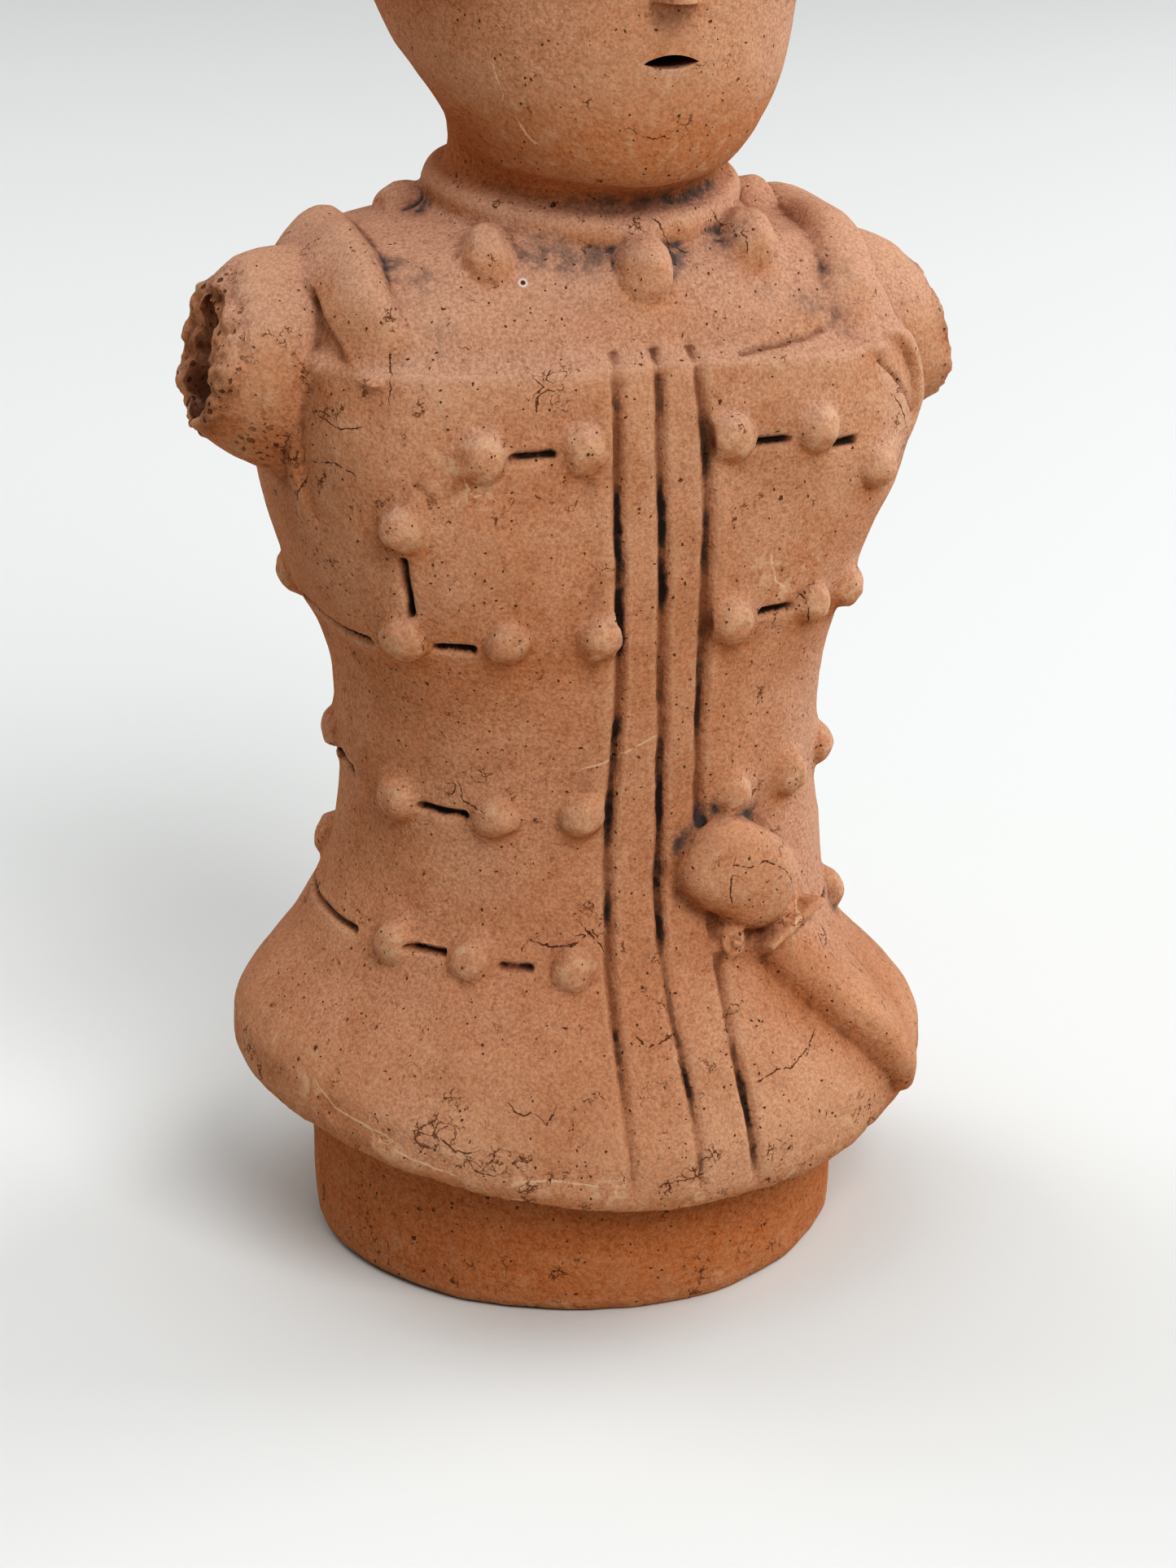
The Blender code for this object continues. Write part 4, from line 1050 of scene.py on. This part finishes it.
near, wide = hollowness(NEAR_ROUNDS), hollowness(WIDE_ROUNDS)
# recess later darkens the hollows as painted shade and thickens the dust there; crest makes raised places
# wear pale.
recess = smooth_step(near, 0.03, 0.3) * 0.6 + smooth_step(wide, 0.15, 1.1) * 0.7
crest = smooth_step(-near, 0.02, 0.2) * 0.5 + smooth_step(-wide, 0.12, 0.8) * 0.7
print("hollowness in mm:", np.round(np.percentile(wide, (1, 50, 99)), 2))

# %% Scored lines, broken faces and the inside on the finished skin
turn, level = turn_and_level(places)
x_mm, y_mm, z_mm = (places / MM).T
degree = np.hypot(x_mm, y_mm) * math.pi / 180
outside = smooth_step(over_skin(places, turn, level), -4.5, -2.5)
outside = np.where(level < 24, 1.0, outside)
in_front = front_opening()
SCORE_SOOT = (0.45, 0.75, 0.7)
SOOT_HALF_WIDTH, SEAM_SOOT_HALF_WIDTH = 1.15 * SCORE_HALF_WIDTH, 1.25 * SEAM_HALF_WIDTH
LEFT_BREAK_SHARE = 0.7
scored = np.zeros(len(places))
for index, stops in enumerate(FRONT_SCORES):
    distance, depth = off_score(stops)
    sooty = 0.25 + SCORE_SOOT[index] * smooth_step(noise(places, 8.0, 97 + index), -0.3, 0.2)
    scored = np.maximum(scored, depth * in_front * sooty * valley(np.abs(distance), SOOT_HALF_WIDTH))
for past, across in [off_seam(*seam) for seam in SEAMS] + [off_slot(*ARMHOLE_SLOT)]:
    scored = np.maximum(scored, valley(np.hypot(past, across), SEAM_SOOT_HALF_WIDTH))
scored = np.clip(scored, 0, 1) * outside * smooth_step(near, -0.05, 0.12)
broken_right, broken_left = [break_share(*stump[1:]) for stump in ARMS]
broken = np.maximum(broken_right, LEFT_BREAK_SHARE * broken_left)
# A porous, pitted spot on the right stump; it is also painted darker as painted shade.
PITTED_SHADED_SPOT, PITTED_RADIUS = (-59.0, -11.0, 150.5), 6.5
pitted_and_shaded = np.exp(-((places / MM - PITTED_SHADED_SPOT) ** 2).sum(1) / PITTED_RADIUS ** 2)
print("scored vertices:", int((scored > 0.2).sum()), "broken:", int((broken > 0.5).sum()))

# %% Dust, scuffs, painted shade, painted light and attributes
def patch(points, radius):
    """1 near any of these places on the skin, given as turn, level and weight."""
    found = np.zeros(len(places))
    for at_turn, at_level, weight in points:
        off = places - skin(at_turn, at_level)
        share = np.exp(-(off ** 2).sum(1) / (radius * MM) ** 2)
        found = np.maximum(found, weight * share)
    return found


def drawn(lines):
    """The nearest of several lines: signed distance in mm, and how strongly it is there."""
    signed, strength = np.full(len(places), LINE_REACH), np.zeros(len(places))
    for line_strength, points in lines:
        away, beside = off_line(points, places, normals, over=9.0)
        closer = np.abs(away) < np.abs(signed)
        signed = np.where(closer, away, signed)
        strength = np.where(closer, line_strength * beside, strength)
    return signed, strength * outside


CRACKS = (
    (1, ((-74, 147), (-76.5, 143), (-78, 138.8))), (0.8, ((-70, 158.5), (-66, 157.3), (-61, 158))),
    (0.9, ((-62, 150.5), (-66, 151.5), (-71, 150.5))), (0.8, ((-58.5, 169), (-57, 166.5), (-56.5, 163))),
    (0.9, ((-29, 166.5), (-31.5, 162.5), (-31, 158.5))), (0.7, ((-31, 164.5), (-27, 165))),
    (0.9, ((16, 42.8), (20, 43.6), (23.5, 42.9), (29, 44.2), (33, 46.5))),
    (1, ((-8, 52.5), (-6.5, 50.5), (-3, 51.5), (0.5, 52.5))),
    (0.8, ((-33, 41.5), (-31, 39.8), (-29.5, 40.8))), (1, ((-26.5, 39), (-25, 41.5))),
    (0.9, ((-20, 70.5), (-16.5, 68), (-14, 66))),
    (0.9, ((-32, 68), (-27, 67), (-21.5, 67.5), (-15.5, 70.5))),
    (0.9, ((18, 80), (22, 78.6), (26, 79.2), (31, 77))), (0.8, ((31, 77), (34, 74))),
    (1, ((36, 70), (39, 72.5), (42, 71))), (0.9, ((43, 61), (41.5, 57.5), (43.5, 54.5))),
    (0.9, ((17.5, 80), (16, 76.5), (17, 73))), (0.8, ((-45, 33.5), (-41.5, 31), (-38, 32))),
    (0.8, ((55, 157), (59, 152.5), (62, 147.5))), (0.7, ((33, 122.5), (36.5, 125), (39, 119.5))),
    (0.9, ((-53, 93), (-50, 92), (-44, 91.5))), (0.8, ((-50.5, 96), (-49.5, 92.5))),
    (0.8, ((-40, 29), (-36, 28.3), (-33, 29.5))), (0.7, ((5, 186.5), (10, 183), (16, 182))),
    (0.8, ((33, 186.5), (35, 184), (34, 181))), (0.7, ((-13, 206.5), (-6, 205), (1, 205.5))),
)
SCRATCHES = (
    (0.8, ((-20, 98.5), (-12, 100), (-6, 101.6), (-1, 103.2))),
    (1, ((-47.5, 205.5), (-45, 203.6), (-42.5, 202.6))), (0.6, ((-50, 213.5), (-50, 209))),
    (0.8, ((31.5, 62.5), (36, 65), (40.5, 67.5))), (1, ((-68, 33.5), (-64, 30.5), (-58, 30), (-52, 29))),
    (0.9, ((-55, 28), (-48, 27), (-41, 26.3))), (0.9, ((-30, 28.5), (-24, 29.5), (-17, 29))),
    (0.8, ((56, 152), (59, 153.5))), (0.8, ((-44, 150.5), (-42.5, 147.5), (-40, 147.8))),
    (0.8, ((27.5, 133), (29, 128), (32, 126.5))),
)
DUST_AT = (
    (36, 177, 0.5), (44, 174, 0.7), (49, 171, 0.8), (33, 183.6, 1), (55, 178, 0.9), (-36, 183, 1),
    (-31, 182.4, 0.9), (-25, 181.8, 1), (-18, 181.5, 0.9), (11, 181, 1), (-58, 180, 0.8),
    (-66, 181.5, 0.9), (-76, 182.5, 0.8), (-85, 183, 0.7), (-50, 172, 0.6), (11, 83.2, 1), (18, 86, 1),
    (25, 87, 0.9), (67, 58.5, 0.9), (-88, 172, 0.9), (-92, 168, 0.8), (-80, 165, 0.5), (88, 172, 0.8),
    (-20, 190.5, 0.7), (-8, 190, 0.8), (4, 189.5, 0.9), (16, 189.5, 0.9), (28, 190, 0.9),
    (40, 190.5, 0.8), (-10, 181.2, 0.7), (28, 182.6, 0.6), (-90, 186, 0.9),
)
SCUFF_AT = (
    (-45, 154.5, 0.9), (-42, 148.5, 0.8), (27, 130.5, 0.7), (31, 126.8, 0.8), (38, 130.5, 0.7),
    (-69, 32, 0.8), (-54, 28.5, 0.8), (-42, 28, 0.9), (-31, 26.5, 1), (-15, 28, 0.9), (2, 27, 0.8),
    (19, 26, 1), (34, 27, 0.7), (56, 150, 0.8), (52, 158, 0.6), (41, 66, 0.9), (34, 64, 0.8),
    (46, 60, 0.7), (-55, 170, 0.5),
)
CRACKED_AT = (
    (-73, 160, 0.9), (-76, 146, 1), (-64, 148, 0.9), (-52, 163, 0.7), (-30, 163, 0.5), (26, 77, 0.9),
    (38, 70, 1), (42, 58, 0.8), (50, 45, 0.5), (58, 152, 0.8), (-45, 32, 0.9), (-60, 36, 0.7),
    (-30, 30, 0.9), (0, 30, 0.9), (20, 30, 0.8), (2, 52, 0.9), (-18, 68, 0.8), (-50, 93, 0.7),
    (40, 122, 0.7), (-95, 150, 0.7), (40, 33, 0.6), (-100, 60, 0.6), (110, 100, 0.6), (170, 40, 0.8),
    (-150, 130, 0.7), (130, 160, 0.7), (-5, 190, 0.5), (-60, 190, 0.7), (30, 190, 0.6), (3, 206, 0.4),
)
SMOOTH_UNDER = math.radians(65)
FACING_ROUNDS = 12
FOOT_SHADE, NECK_SHADE, JAW_SHADE = (25.0, 22.0), (188.5, 193.0), (214.0, 203.0)
LEFT_STUMP_OUT, ABOVE_WAIST = (52.0, 57.0), (95.0, 120.0)
DOWNWARDS, RIGHTWARDS, BACKWARDS = (0.0, 0.6), (0.55, 0.95), (0.1, 0.7)
UPWARDS, LEFTWARDS = (0.12, 0.6), (0.25, 0.85)
FROM_WAIST_TO_CHEST, ABOVE_SKIRT = (95.0, 150.0), (40.0, 75.0)
facing = averaged(normals, FACING_ROUNDS)
# Painted shade: the foot below the hem, the neck under the chin, undersides, the sides turned from the
# window, the scabbard's lower edge and a pitted spot are coloured darker and more saturated, less so on
# the back.
shaded_foot = smooth_step(level, *FOOT_SHADE)
shaded_neck = smooth_step(level, *NECK_SHADE) * smooth_step(level, *JAW_SHADE)
painted_shade = np.maximum(shaded_foot, shaded_neck)
DUST_RADIUS, SCUFF_RADIUS, TOP_RADIUS, SHADE_RADIUS, CRACKED_RADIUS = 4.0, 4.2, 4.4, 5.5, 9.0
SHADED_AT = (
    (30.6, 57.5, 0.7), (35.4, 52.8, 0.8), (39.1, 48, 0.8), (43.2, 43.5, 0.8), (47.5, 38.3, 0.8),
)
at_stump = smooth_step(x_mm, *LEFT_STUMP_OUT) * smooth_step(level, *ABOVE_WAIST)
shaded_underside = (1 - 0.7 * at_stump) * smooth_step(-facing[:, 2], *DOWNWARDS)
painted_shade = np.maximum(painted_shade, 0.85 * shaded_underside)
painted_shade = np.maximum(painted_shade, 0.35 * smooth_step(-facing[:, 0], *RIGHTWARDS))
painted_shade = painted_shade * (1 - 0.5 * smooth_step(facing[:, 1], *BACKWARDS))
painted_shade = np.maximum(painted_shade, patch(SHADED_AT, SHADE_RADIUS))
# the pitted spot takes painted shade too
painted_shade = np.maximum(painted_shade, 0.85 * pitted_and_shaded ** 0.3)
# Painted light: sides that face up, most above the waist, and sides that face the window above the skirt
# are coloured paler and pinker, but not where painted shade lies.
painted_light = smooth_step(facing[:, 2], *UPWARDS) * (0.15 + 0.85 * smooth_step(level, *FROM_WAIST_TO_CHEST))
lit_by_window = smooth_step(facing[:, 0], *LEFTWARDS) * smooth_step(level, *ABOVE_SKIRT)
painted_light = painted_light + lit_by_window * (1 - at_stump)
painted_light = np.clip(painted_light * (1 - painted_shade), 0, 1) * outside
dust = np.clip(patch(DUST_AT, DUST_RADIUS) * (0.5 + 0.9 * recess), 0, 1) * outside
scuff = patch(SCUFF_AT, SCUFF_RADIUS)
stud_tops = [(turn_at, level_at, 0.85) for level_at, row in STUD_ROWS for turn_at in row]
scuff = np.maximum(scuff, patch(stud_tops, TOP_RADIUS) * smooth_step(crest, 0.15, 0.7)) * outside


def keep(name, values):
    clay.data.attributes.new(name, "FLOAT", "POINT").data.foreach_set(
        "value", np.clip(values, 0, 1).astype(np.float32)
    )


for name, values in (
    ("recess", recess), ("crest", crest * outside), ("scored", scored), ("broken", broken),
    ("porous", np.maximum(broken, pitted_and_shaded)), ("dust", dust), ("scuff", scuff),
    ("painted_shade", painted_shade), ("painted_light", painted_light),
):
    keep(name, values)
foot_wear = smooth_step(z_mm, 15.0, 3.0) * (0.7 + 0.5 * noise(places, 9.0, 95))
at_hem = np.exp(-((level - 29.0) / 5.0) ** 2)
hem_wear = at_hem * (0.6 + 0.5 * noise(places, 9.0, 96))
keep("cracked", np.maximum(patch(CRACKED_AT, CRACKED_RADIUS), np.maximum(foot_wear, hem_wear)))
for name, lines in (("crack", CRACKS), ("scratch", SCRATCHES)):
    away, strength = drawn(lines)
    keep(f"{name}_off", 0.5 + away / (2 * LINE_REACH))
    keep(f"{name}_here", strength)
use(clay)
bpy.ops.object.shade_smooth_by_angle(angle=SMOOTH_UNDER)
print("attributes:", [name for name in clay.data.attributes.keys() if not name.startswith(".")])

# %% [markdown]
# Fired clay is matt and grainy. Sand, pits, hair cracks and uneven firing are
# node groups that any earthenware could use: each reads Object coordinates, so
# its grain has a real size, and gives out a mask or a height.
# %% Helpers for node groups
def group(name, inputs, outputs):
    """An empty shader node group with named values going in and coming out."""
    tree = bpy.data.node_groups.new(name, "ShaderNodeTree")
    for label, default in inputs:
        made = tree.interface.new_socket(label, in_out="INPUT", socket_type="NodeSocketFloat")
        made.default_value = default
    for label in outputs:
        tree.interface.new_socket(label, in_out="OUTPUT", socket_type="NodeSocketFloat")
    return tree, tree.nodes.new("NodeGroupInput").outputs, tree.nodes.new("NodeGroupOutput").inputs


def add_node(tree, kind, wires=(), **settings):
    """Adds a node. Wires are pairs of input and what feeds it: a socket or a number."""
    made = tree.nodes.new("ShaderNode" + kind)
    for name, value in settings.items():
        setattr(made, name, value)
    for name, source in wires:
        if isinstance(source, bpy.types.NodeSocket):
            tree.links.new(source, made.inputs[name])
        else:
            made.inputs[name].default_value = source
    return made


def calculate(tree, operation, first, second=0.0):
    return add_node(tree, "Math", [(0, first), (1, second)], operation=operation).outputs[0]


def multiply(tree, first, second):
    return calculate(tree, "MULTIPLY", first, second)


def remap(tree, value, low, high, to_low=0.0, to_high=1.0):
    made = add_node(tree, "MapRange", [
        ("Value", value), ("From Min", low), ("From Max", high), ("To Min", to_low), ("To Max", to_high),
    ], interpolation_type="SMOOTHSTEP")
    return made.outputs["Result"]


def object_place(tree):
    return add_node(tree, "TexCoord").outputs["Object"]


def noise_at(tree, scale, detail, roughness=0.5):
    return add_node(tree, "TexNoise", [
        ("Vector", object_place(tree)), ("Scale", scale), ("Detail", detail), ("Roughness", roughness),
    ]).outputs


def cells_at(tree, scale, bend=None, by=0.0, **settings):
    """Cells over the object, or over places that a noise colour has moved about."""
    at = object_place(tree)
    if bend is not None:
        at = add_node(tree, "VectorMath", [(0, bend), (1, (by,) * 3), (2, at)],
                      operation="MULTIPLY_ADD").outputs[0]
    return add_node(tree, "TexVoronoi", [("Vector", at), ("Scale", scale)], **settings).outputs


# %% Mottle, sand, pits and hair cracks
def mottle_group():
    """Soft blotches, as uneven firing and handling leave."""
    tree, given, out = group("mottle", (("Scale", 60.0), ("Low", 0.4), ("High", 0.6)), ("Mask",))
    blotches = noise_at(tree, given["Scale"], 6.0, 0.6)["Fac"]
    tree.links.new(remap(tree, blotches, given["Low"], given["High"]), out["Mask"])
    return tree


def sand_group():
    """Grains in the clay: their tone, the few dark ones among them, and their height."""
    tree, given, out = group("sand", (("Scale", 1500.0),), ("Tone", "Dark", "Height"))
    grain = noise_at(tree, given["Scale"], 3.0, 0.65)["Fac"]
    height = calculate(tree, "MULTIPLY_ADD", cells_at(tree, given["Scale"])["Distance"], -0.6)
    tree.links.new(grain, height.node.inputs[2])
    tree.links.new(remap(tree, grain, 0.35, 0.65), out["Tone"])
    tree.links.new(remap(tree, grain, 0.4, 0.3), out["Dark"])
    tree.links.new(height, out["Height"])
    return tree


def pits_group():
    """Small round holes where grains have fallen out, only in some cells."""
    tree, given, out = group("pits", (("Scale", 300.0), ("Share", 0.2), ("Size", 0.25)), ("Mask",))
    cells = cells_at(tree, given["Scale"], noise_at(tree, 900.0, 2.0)["Color"], 0.0011)
    split = add_node(tree, "SeparateColor", [("Color", cells["Color"])]).outputs
    chosen = calculate(tree, "LESS_THAN", split["Red"], given["Share"])
    reach = multiply(tree, given["Size"], split["Green"])
    hole = remap(tree, cells["Distance"], reach, multiply(tree, reach, 0.5))
    tree.links.new(multiply(tree, hole, chosen), out["Mask"])
    return tree


def cracks_group():
    """Short hair cracks: the edges of wavering cells, broken up by noise. Extra adds more."""
    tree, given, out = group(
        "hair_cracks", (("Scale", 90.0), ("Width", 0.02), ("Share", 0.4), ("Extra", 0.0)), ("Mask",)
    )
    bend = noise_at(tree, 420.0, 5.0, 0.7)["Color"]
    cells = cells_at(tree, given["Scale"], bend, 0.0034, feature="DISTANCE_TO_EDGE")
    here = noise_at(tree, 170.0, 3.0, 0.6)["Fac"]
    above = calculate(tree, "SUBTRACT", 1.0, calculate(tree, "ADD", given["Share"], given["Extra"]))
    shown = remap(tree, here, above, calculate(tree, "ADD", above, 0.1))
    width = multiply(tree, given["Width"], shown)
    tree.links.new(calculate(tree, "LESS_THAN", cells["Distance"], width), out["Mask"])
    return tree


def line_group():
    """A wavering line where a signed distance in mm is near 0. Off holds it from 0 to 1."""
    tree, given, out = group(
        "drawn_line",
        (("Off", 0.5), ("Here", 0.0), ("Width", 0.15), ("Waver", 0.6), ("Gaps", 0.35)), ("Mask",),
    )
    signed = multiply(tree, calculate(tree, "SUBTRACT", given["Off"], 0.5), 2 * LINE_REACH)
    bend = calculate(tree, "SUBTRACT", noise_at(tree, 420.0, 5.0, 0.7)["Fac"], 0.5)
    swing = multiply(tree, multiply(tree, bend, given["Waver"]), 3.0)
    away = calculate(tree, "ABSOLUTE", calculate(tree, "ADD", signed, swing))
    gap = noise_at(tree, 600.0, 3.0)["Fac"]
    shown = remap(tree, gap, given["Gaps"], calculate(tree, "ADD", given["Gaps"], 0.2))
    width = multiply(tree, given["Width"], multiply(tree, shown, given["Here"]))
    line = remap(tree, away, multiply(tree, width, 1.6), multiply(tree, width, 0.6))
    there = remap(tree, width, 0.0, 0.05)
    tree.links.new(multiply(tree, line, there), out["Mask"])
    return tree


mottle, sand, pits = mottle_group(), sand_group(), pits_group()
hair_cracks, drawn_line = cracks_group(), line_group()
print("groups:", [tree.name for tree in (mottle, sand, pits, hair_cracks, drawn_line)])

# %% [markdown]
# The clay's colour is built up in layers: the body colour, uneven firing, painted
# shade on the foot, neck, undersides and shaded side, painted light on the upper
# and window-facing sides, grain, painted shade in the recesses, pale on the
# crests, then cracks, pits and dust. Roughness and the bump come from the same
# masks.
# %% Fired clay
clay_material = bpy.data.materials.new("fired_clay")
clay_material.use_nodes = True
tree = clay_material.node_tree
shader = tree.nodes["Principled BSDF"]
shader.inputs["IOR"].default_value = 1.45
shader.inputs["Specular IOR Level"].default_value = 0.28


def effect(node_tree, **values):
    """One of the groups, placed in the material with its own values or masks."""
    made = tree.nodes.new("ShaderNodeGroup")
    made.node_tree = node_tree
    for name, value in values.items():
        if isinstance(value, bpy.types.NodeSocket):
            tree.links.new(value, made.inputs[name])
        else:
            made.inputs[name].default_value = value
    return made.outputs


def mask(name):
    return add_node(tree, "Attribute", attribute_type="GEOMETRY", attribute_name=name).outputs["Fac"]


def tint(below, colour, share):
    """Lays a colour over the one below, where share is 1."""
    made = add_node(tree, "Mix", data_type="RGBA")
    for socket, source in ((made.inputs[6], below), (made.inputs[7], colour), (made.inputs[0], share)):
        if isinstance(source, bpy.types.NodeSocket):
            tree.links.new(source, socket)
        else:
            socket.default_value = (*source, 1) if isinstance(source, tuple) else source
    return made.outputs[2]


def times(first, second):
    return multiply(tree, first, second)


def greatest(*masks):
    found = masks[0]
    for other in masks[1:]:
        found = calculate(tree, "MAXIMUM", found, other)
    return found


def partly(value, least):
    """A mask lifted so that it is nowhere below least."""
    return calculate(tree, "ADD", least, times(value, 1 - least))


BODY_CLAY = (0.5, 0.257, 0.149)
PINK_CLAY = (0.557, 0.327, 0.213)
BROWN_CLAY = (0.385, 0.177, 0.084)
DEEP_CLAY = (0.148, 0.058, 0.025)
WORN_CLAY = (0.574, 0.388, 0.269)
# painted light colour
PAINTED_LIGHT_CLAY = (0.57, 0.375, 0.292)
# painted shade colour
PAINTED_SHADE_CLAY = (0.452, 0.168, 0.049)
SCUFFED = (0.626, 0.461, 0.325)
SOOT = (0.035, 0.025, 0.022)
GREY_DUST = (0.085, 0.08, 0.082)
RING_WHITE = (0.62, 0.6, 0.57)
# one pit with a pale ring, as turn and level, and the radii of its rim in metres
RINGED_PIT = (-37.0, 179.2)
RING_INSIDE, RING_OUTSIDE, PIT_EDGE = (0.00035, 0.0005), (0.0009, 0.0007), (0.0005, 0.0003)

firing = effect(mottle, Scale=22.0, Low=0.38, High=0.62)["Mask"]
blotch = effect(mottle, Scale=75.0, Low=0.42, High=0.66)["Mask"]
fleck = effect(mottle, Scale=420.0, Low=0.5, High=0.7)["Mask"]
chafed = effect(mottle, Scale=380.0, Low=0.5, High=0.6)["Mask"]
uneven = effect(mottle, Scale=190.0, Low=0.34, High=0.56)["Mask"]
powder = effect(mottle, Scale=420.0, Low=0.3, High=0.62)["Mask"]
grain = effect(sand, Scale=1900.0)
coarse = effect(sand, Scale=900.0)
more = times(mask("cracked"), 0.12)
crack = greatest(
    effect(hair_cracks, Scale=130.0, Width=0.014, Share=0.375, Extra=more)["Mask"],
    effect(hair_cracks, Scale=380.0, Width=0.032, Share=0.365, Extra=more)["Mask"],
    effect(drawn_line, Off=mask("crack_off"), Here=mask("crack_here"), Width=0.12, Waver=0.6)["Mask"],
)
scratch = effect(
    drawn_line, Off=mask("scratch_off"), Here=mask("scratch_here"), Width=0.22, Waver=0.2, Gaps=0.3
)["Mask"]
hole = greatest(
    effect(pits, Scale=330.0, Share=0.013, Size=0.22)["Mask"],
    effect(pits, Scale=1400.0, Share=0.1, Size=0.4)["Mask"],
    times(effect(pits, Scale=800.0, Share=0.55, Size=0.6)["Mask"], mask("porous")),
)
sooty = remap(tree, times(mask("scored"), partly(uneven, 0.55)), 0.22, 0.85, 0.0, 0.95)
ringed = tuple(skin(*RINGED_PIT))
from_pit = add_node(
    tree, "VectorMath", [(0, object_place(tree)), (1, ringed)], operation="DISTANCE"
).outputs["Value"]
ring = times(remap(tree, from_pit, *RING_INSIDE), remap(tree, from_pit, *RING_OUTSIDE))
dusty = times(mask("dust"), calculate(tree, "ADD", 0.35, times(powder, 0.75)))
colour = BODY_CLAY
for laid, share in (
    (PINK_CLAY, firing),
    (BROWN_CLAY, times(blotch, 0.4)),
    # painted shade, darker and more saturated
    (PAINTED_SHADE_CLAY, times(mask("painted_shade"), 0.85)),
    # painted light, paler and pinker
    (PAINTED_LIGHT_CLAY, times(mask("painted_light"), 0.75)),
    (DEEP_CLAY, times(calculate(tree, "SUBTRACT", 1.0, grain["Tone"]), 0.36)),
    (DEEP_CLAY, times(coarse["Dark"], 0.25)),
    (WORN_CLAY, times(coarse["Tone"], 0.2)),
    # painted shade in the hollows
    (DEEP_CLAY, times(mask("recess"), 0.62)),
    (WORN_CLAY, times(times(mask("crest"), partly(fleck, 0.35)), 0.55)),
    (SCUFFED, times(times(mask("scuff"), chafed), 0.6)),
    (DEEP_CLAY, times(mask("broken"), times(blotch, 0.5))),
    (SCUFFED, times(scratch, 0.65)),
    (DEEP_CLAY, times(greatest(crack, hole), 0.85)),
    (SOOT, sooty),
    (RING_WHITE, times(ring, 0.75)),
    (DEEP_CLAY, remap(tree, from_pit, *PIT_EDGE)),
    (GREY_DUST, remap(tree, dusty, 0.08, 0.75, 0.0, 0.85)),
):
    colour = tint(colour, laid, share)
tree.links.new(colour, shader.inputs["Base Color"])
tree.links.new(remap(tree, grain["Tone"], 0.0, 1.0, 0.98, 0.84), shader.inputs["Roughness"])

height = times(grain["Height"], 0.13)
for heap, amount in ((coarse["Height"], 0.2), (fleck, 0.12), (crack, -0.55), (hole, -0.7)):
    height = calculate(tree, "ADD", height, times(heap, amount))
relief = add_node(tree, "Bump", [("Strength", 1.0), ("Distance", 0.0007), ("Height", height)])
tree.links.new(relief.outputs["Normal"], shader.inputs["Normal"])
clay.data.materials.clear()
clay.data.materials.append(clay_material)
print("nodes in the clay:", len(tree.nodes))

# %% [markdown]
# The figure stands on a plain pale floor, so wide that the camera sees nothing
# else. Large soft lamps light it from the right and above, as by a window.
# %% Floor
FLOOR_SIZE = 12.0
deselect()
bpy.ops.mesh.primitive_plane_add(size=FLOOR_SIZE)
floor = bpy.context.active_object
floor.name = "floor"
floor_material = bpy.data.materials.new("pale_paper")
floor_material.use_nodes = True
paper = floor_material.node_tree.nodes["Principled BSDF"]
paper.inputs["Base Color"].default_value = (0.66, 0.672, 0.668, 1)
paper.inputs["Roughness"].default_value = 0.9
paper.inputs["Specular IOR Level"].default_value = 0.2
floor.data.materials.append(floor_material)

# %% Light
def lamp(name, place, size, power):
    bpy.ops.object.light_add(type="AREA", location=place)
    made = bpy.context.active_object
    made.name = name
    made.data.shape = "DISK"
    made.data.size = size
    made.data.energy = power
    made.rotation_mode = "QUATERNION"
    made.rotation_quaternion = (Vector(AIM) - Vector(place)).to_track_quat("-Z", "Y")


AIM = (0, 0, 0.12)
lamp("window", (1.9, 0.25, 0.85), 1.5, 14.6)
lamp("ceiling", (-0.3, 0.6, 2.2), 1.8, 5.1)
lamp("room", (0.2, -1.7, 1.7), 1.3, 22.0)
lamp("far_wall", (-1.1, 1.4, 1.4), 1.3, 6.3)
world = bpy.data.worlds.new("room")
bpy.context.scene.world = world
world.use_nodes = True
background = world.node_tree.nodes["Background"]
background.inputs["Color"].default_value = (1.0, 1.0, 1.0, 1)
background.inputs["Strength"].default_value = 0.33
view = bpy.context.scene.view_settings
view.view_transform = "Standard"
view.look = "Very High Contrast"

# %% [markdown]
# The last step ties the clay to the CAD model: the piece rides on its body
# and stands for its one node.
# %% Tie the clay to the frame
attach(clay, "root")
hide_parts("haniwa_figure")
bpy.context.view_layer.update()
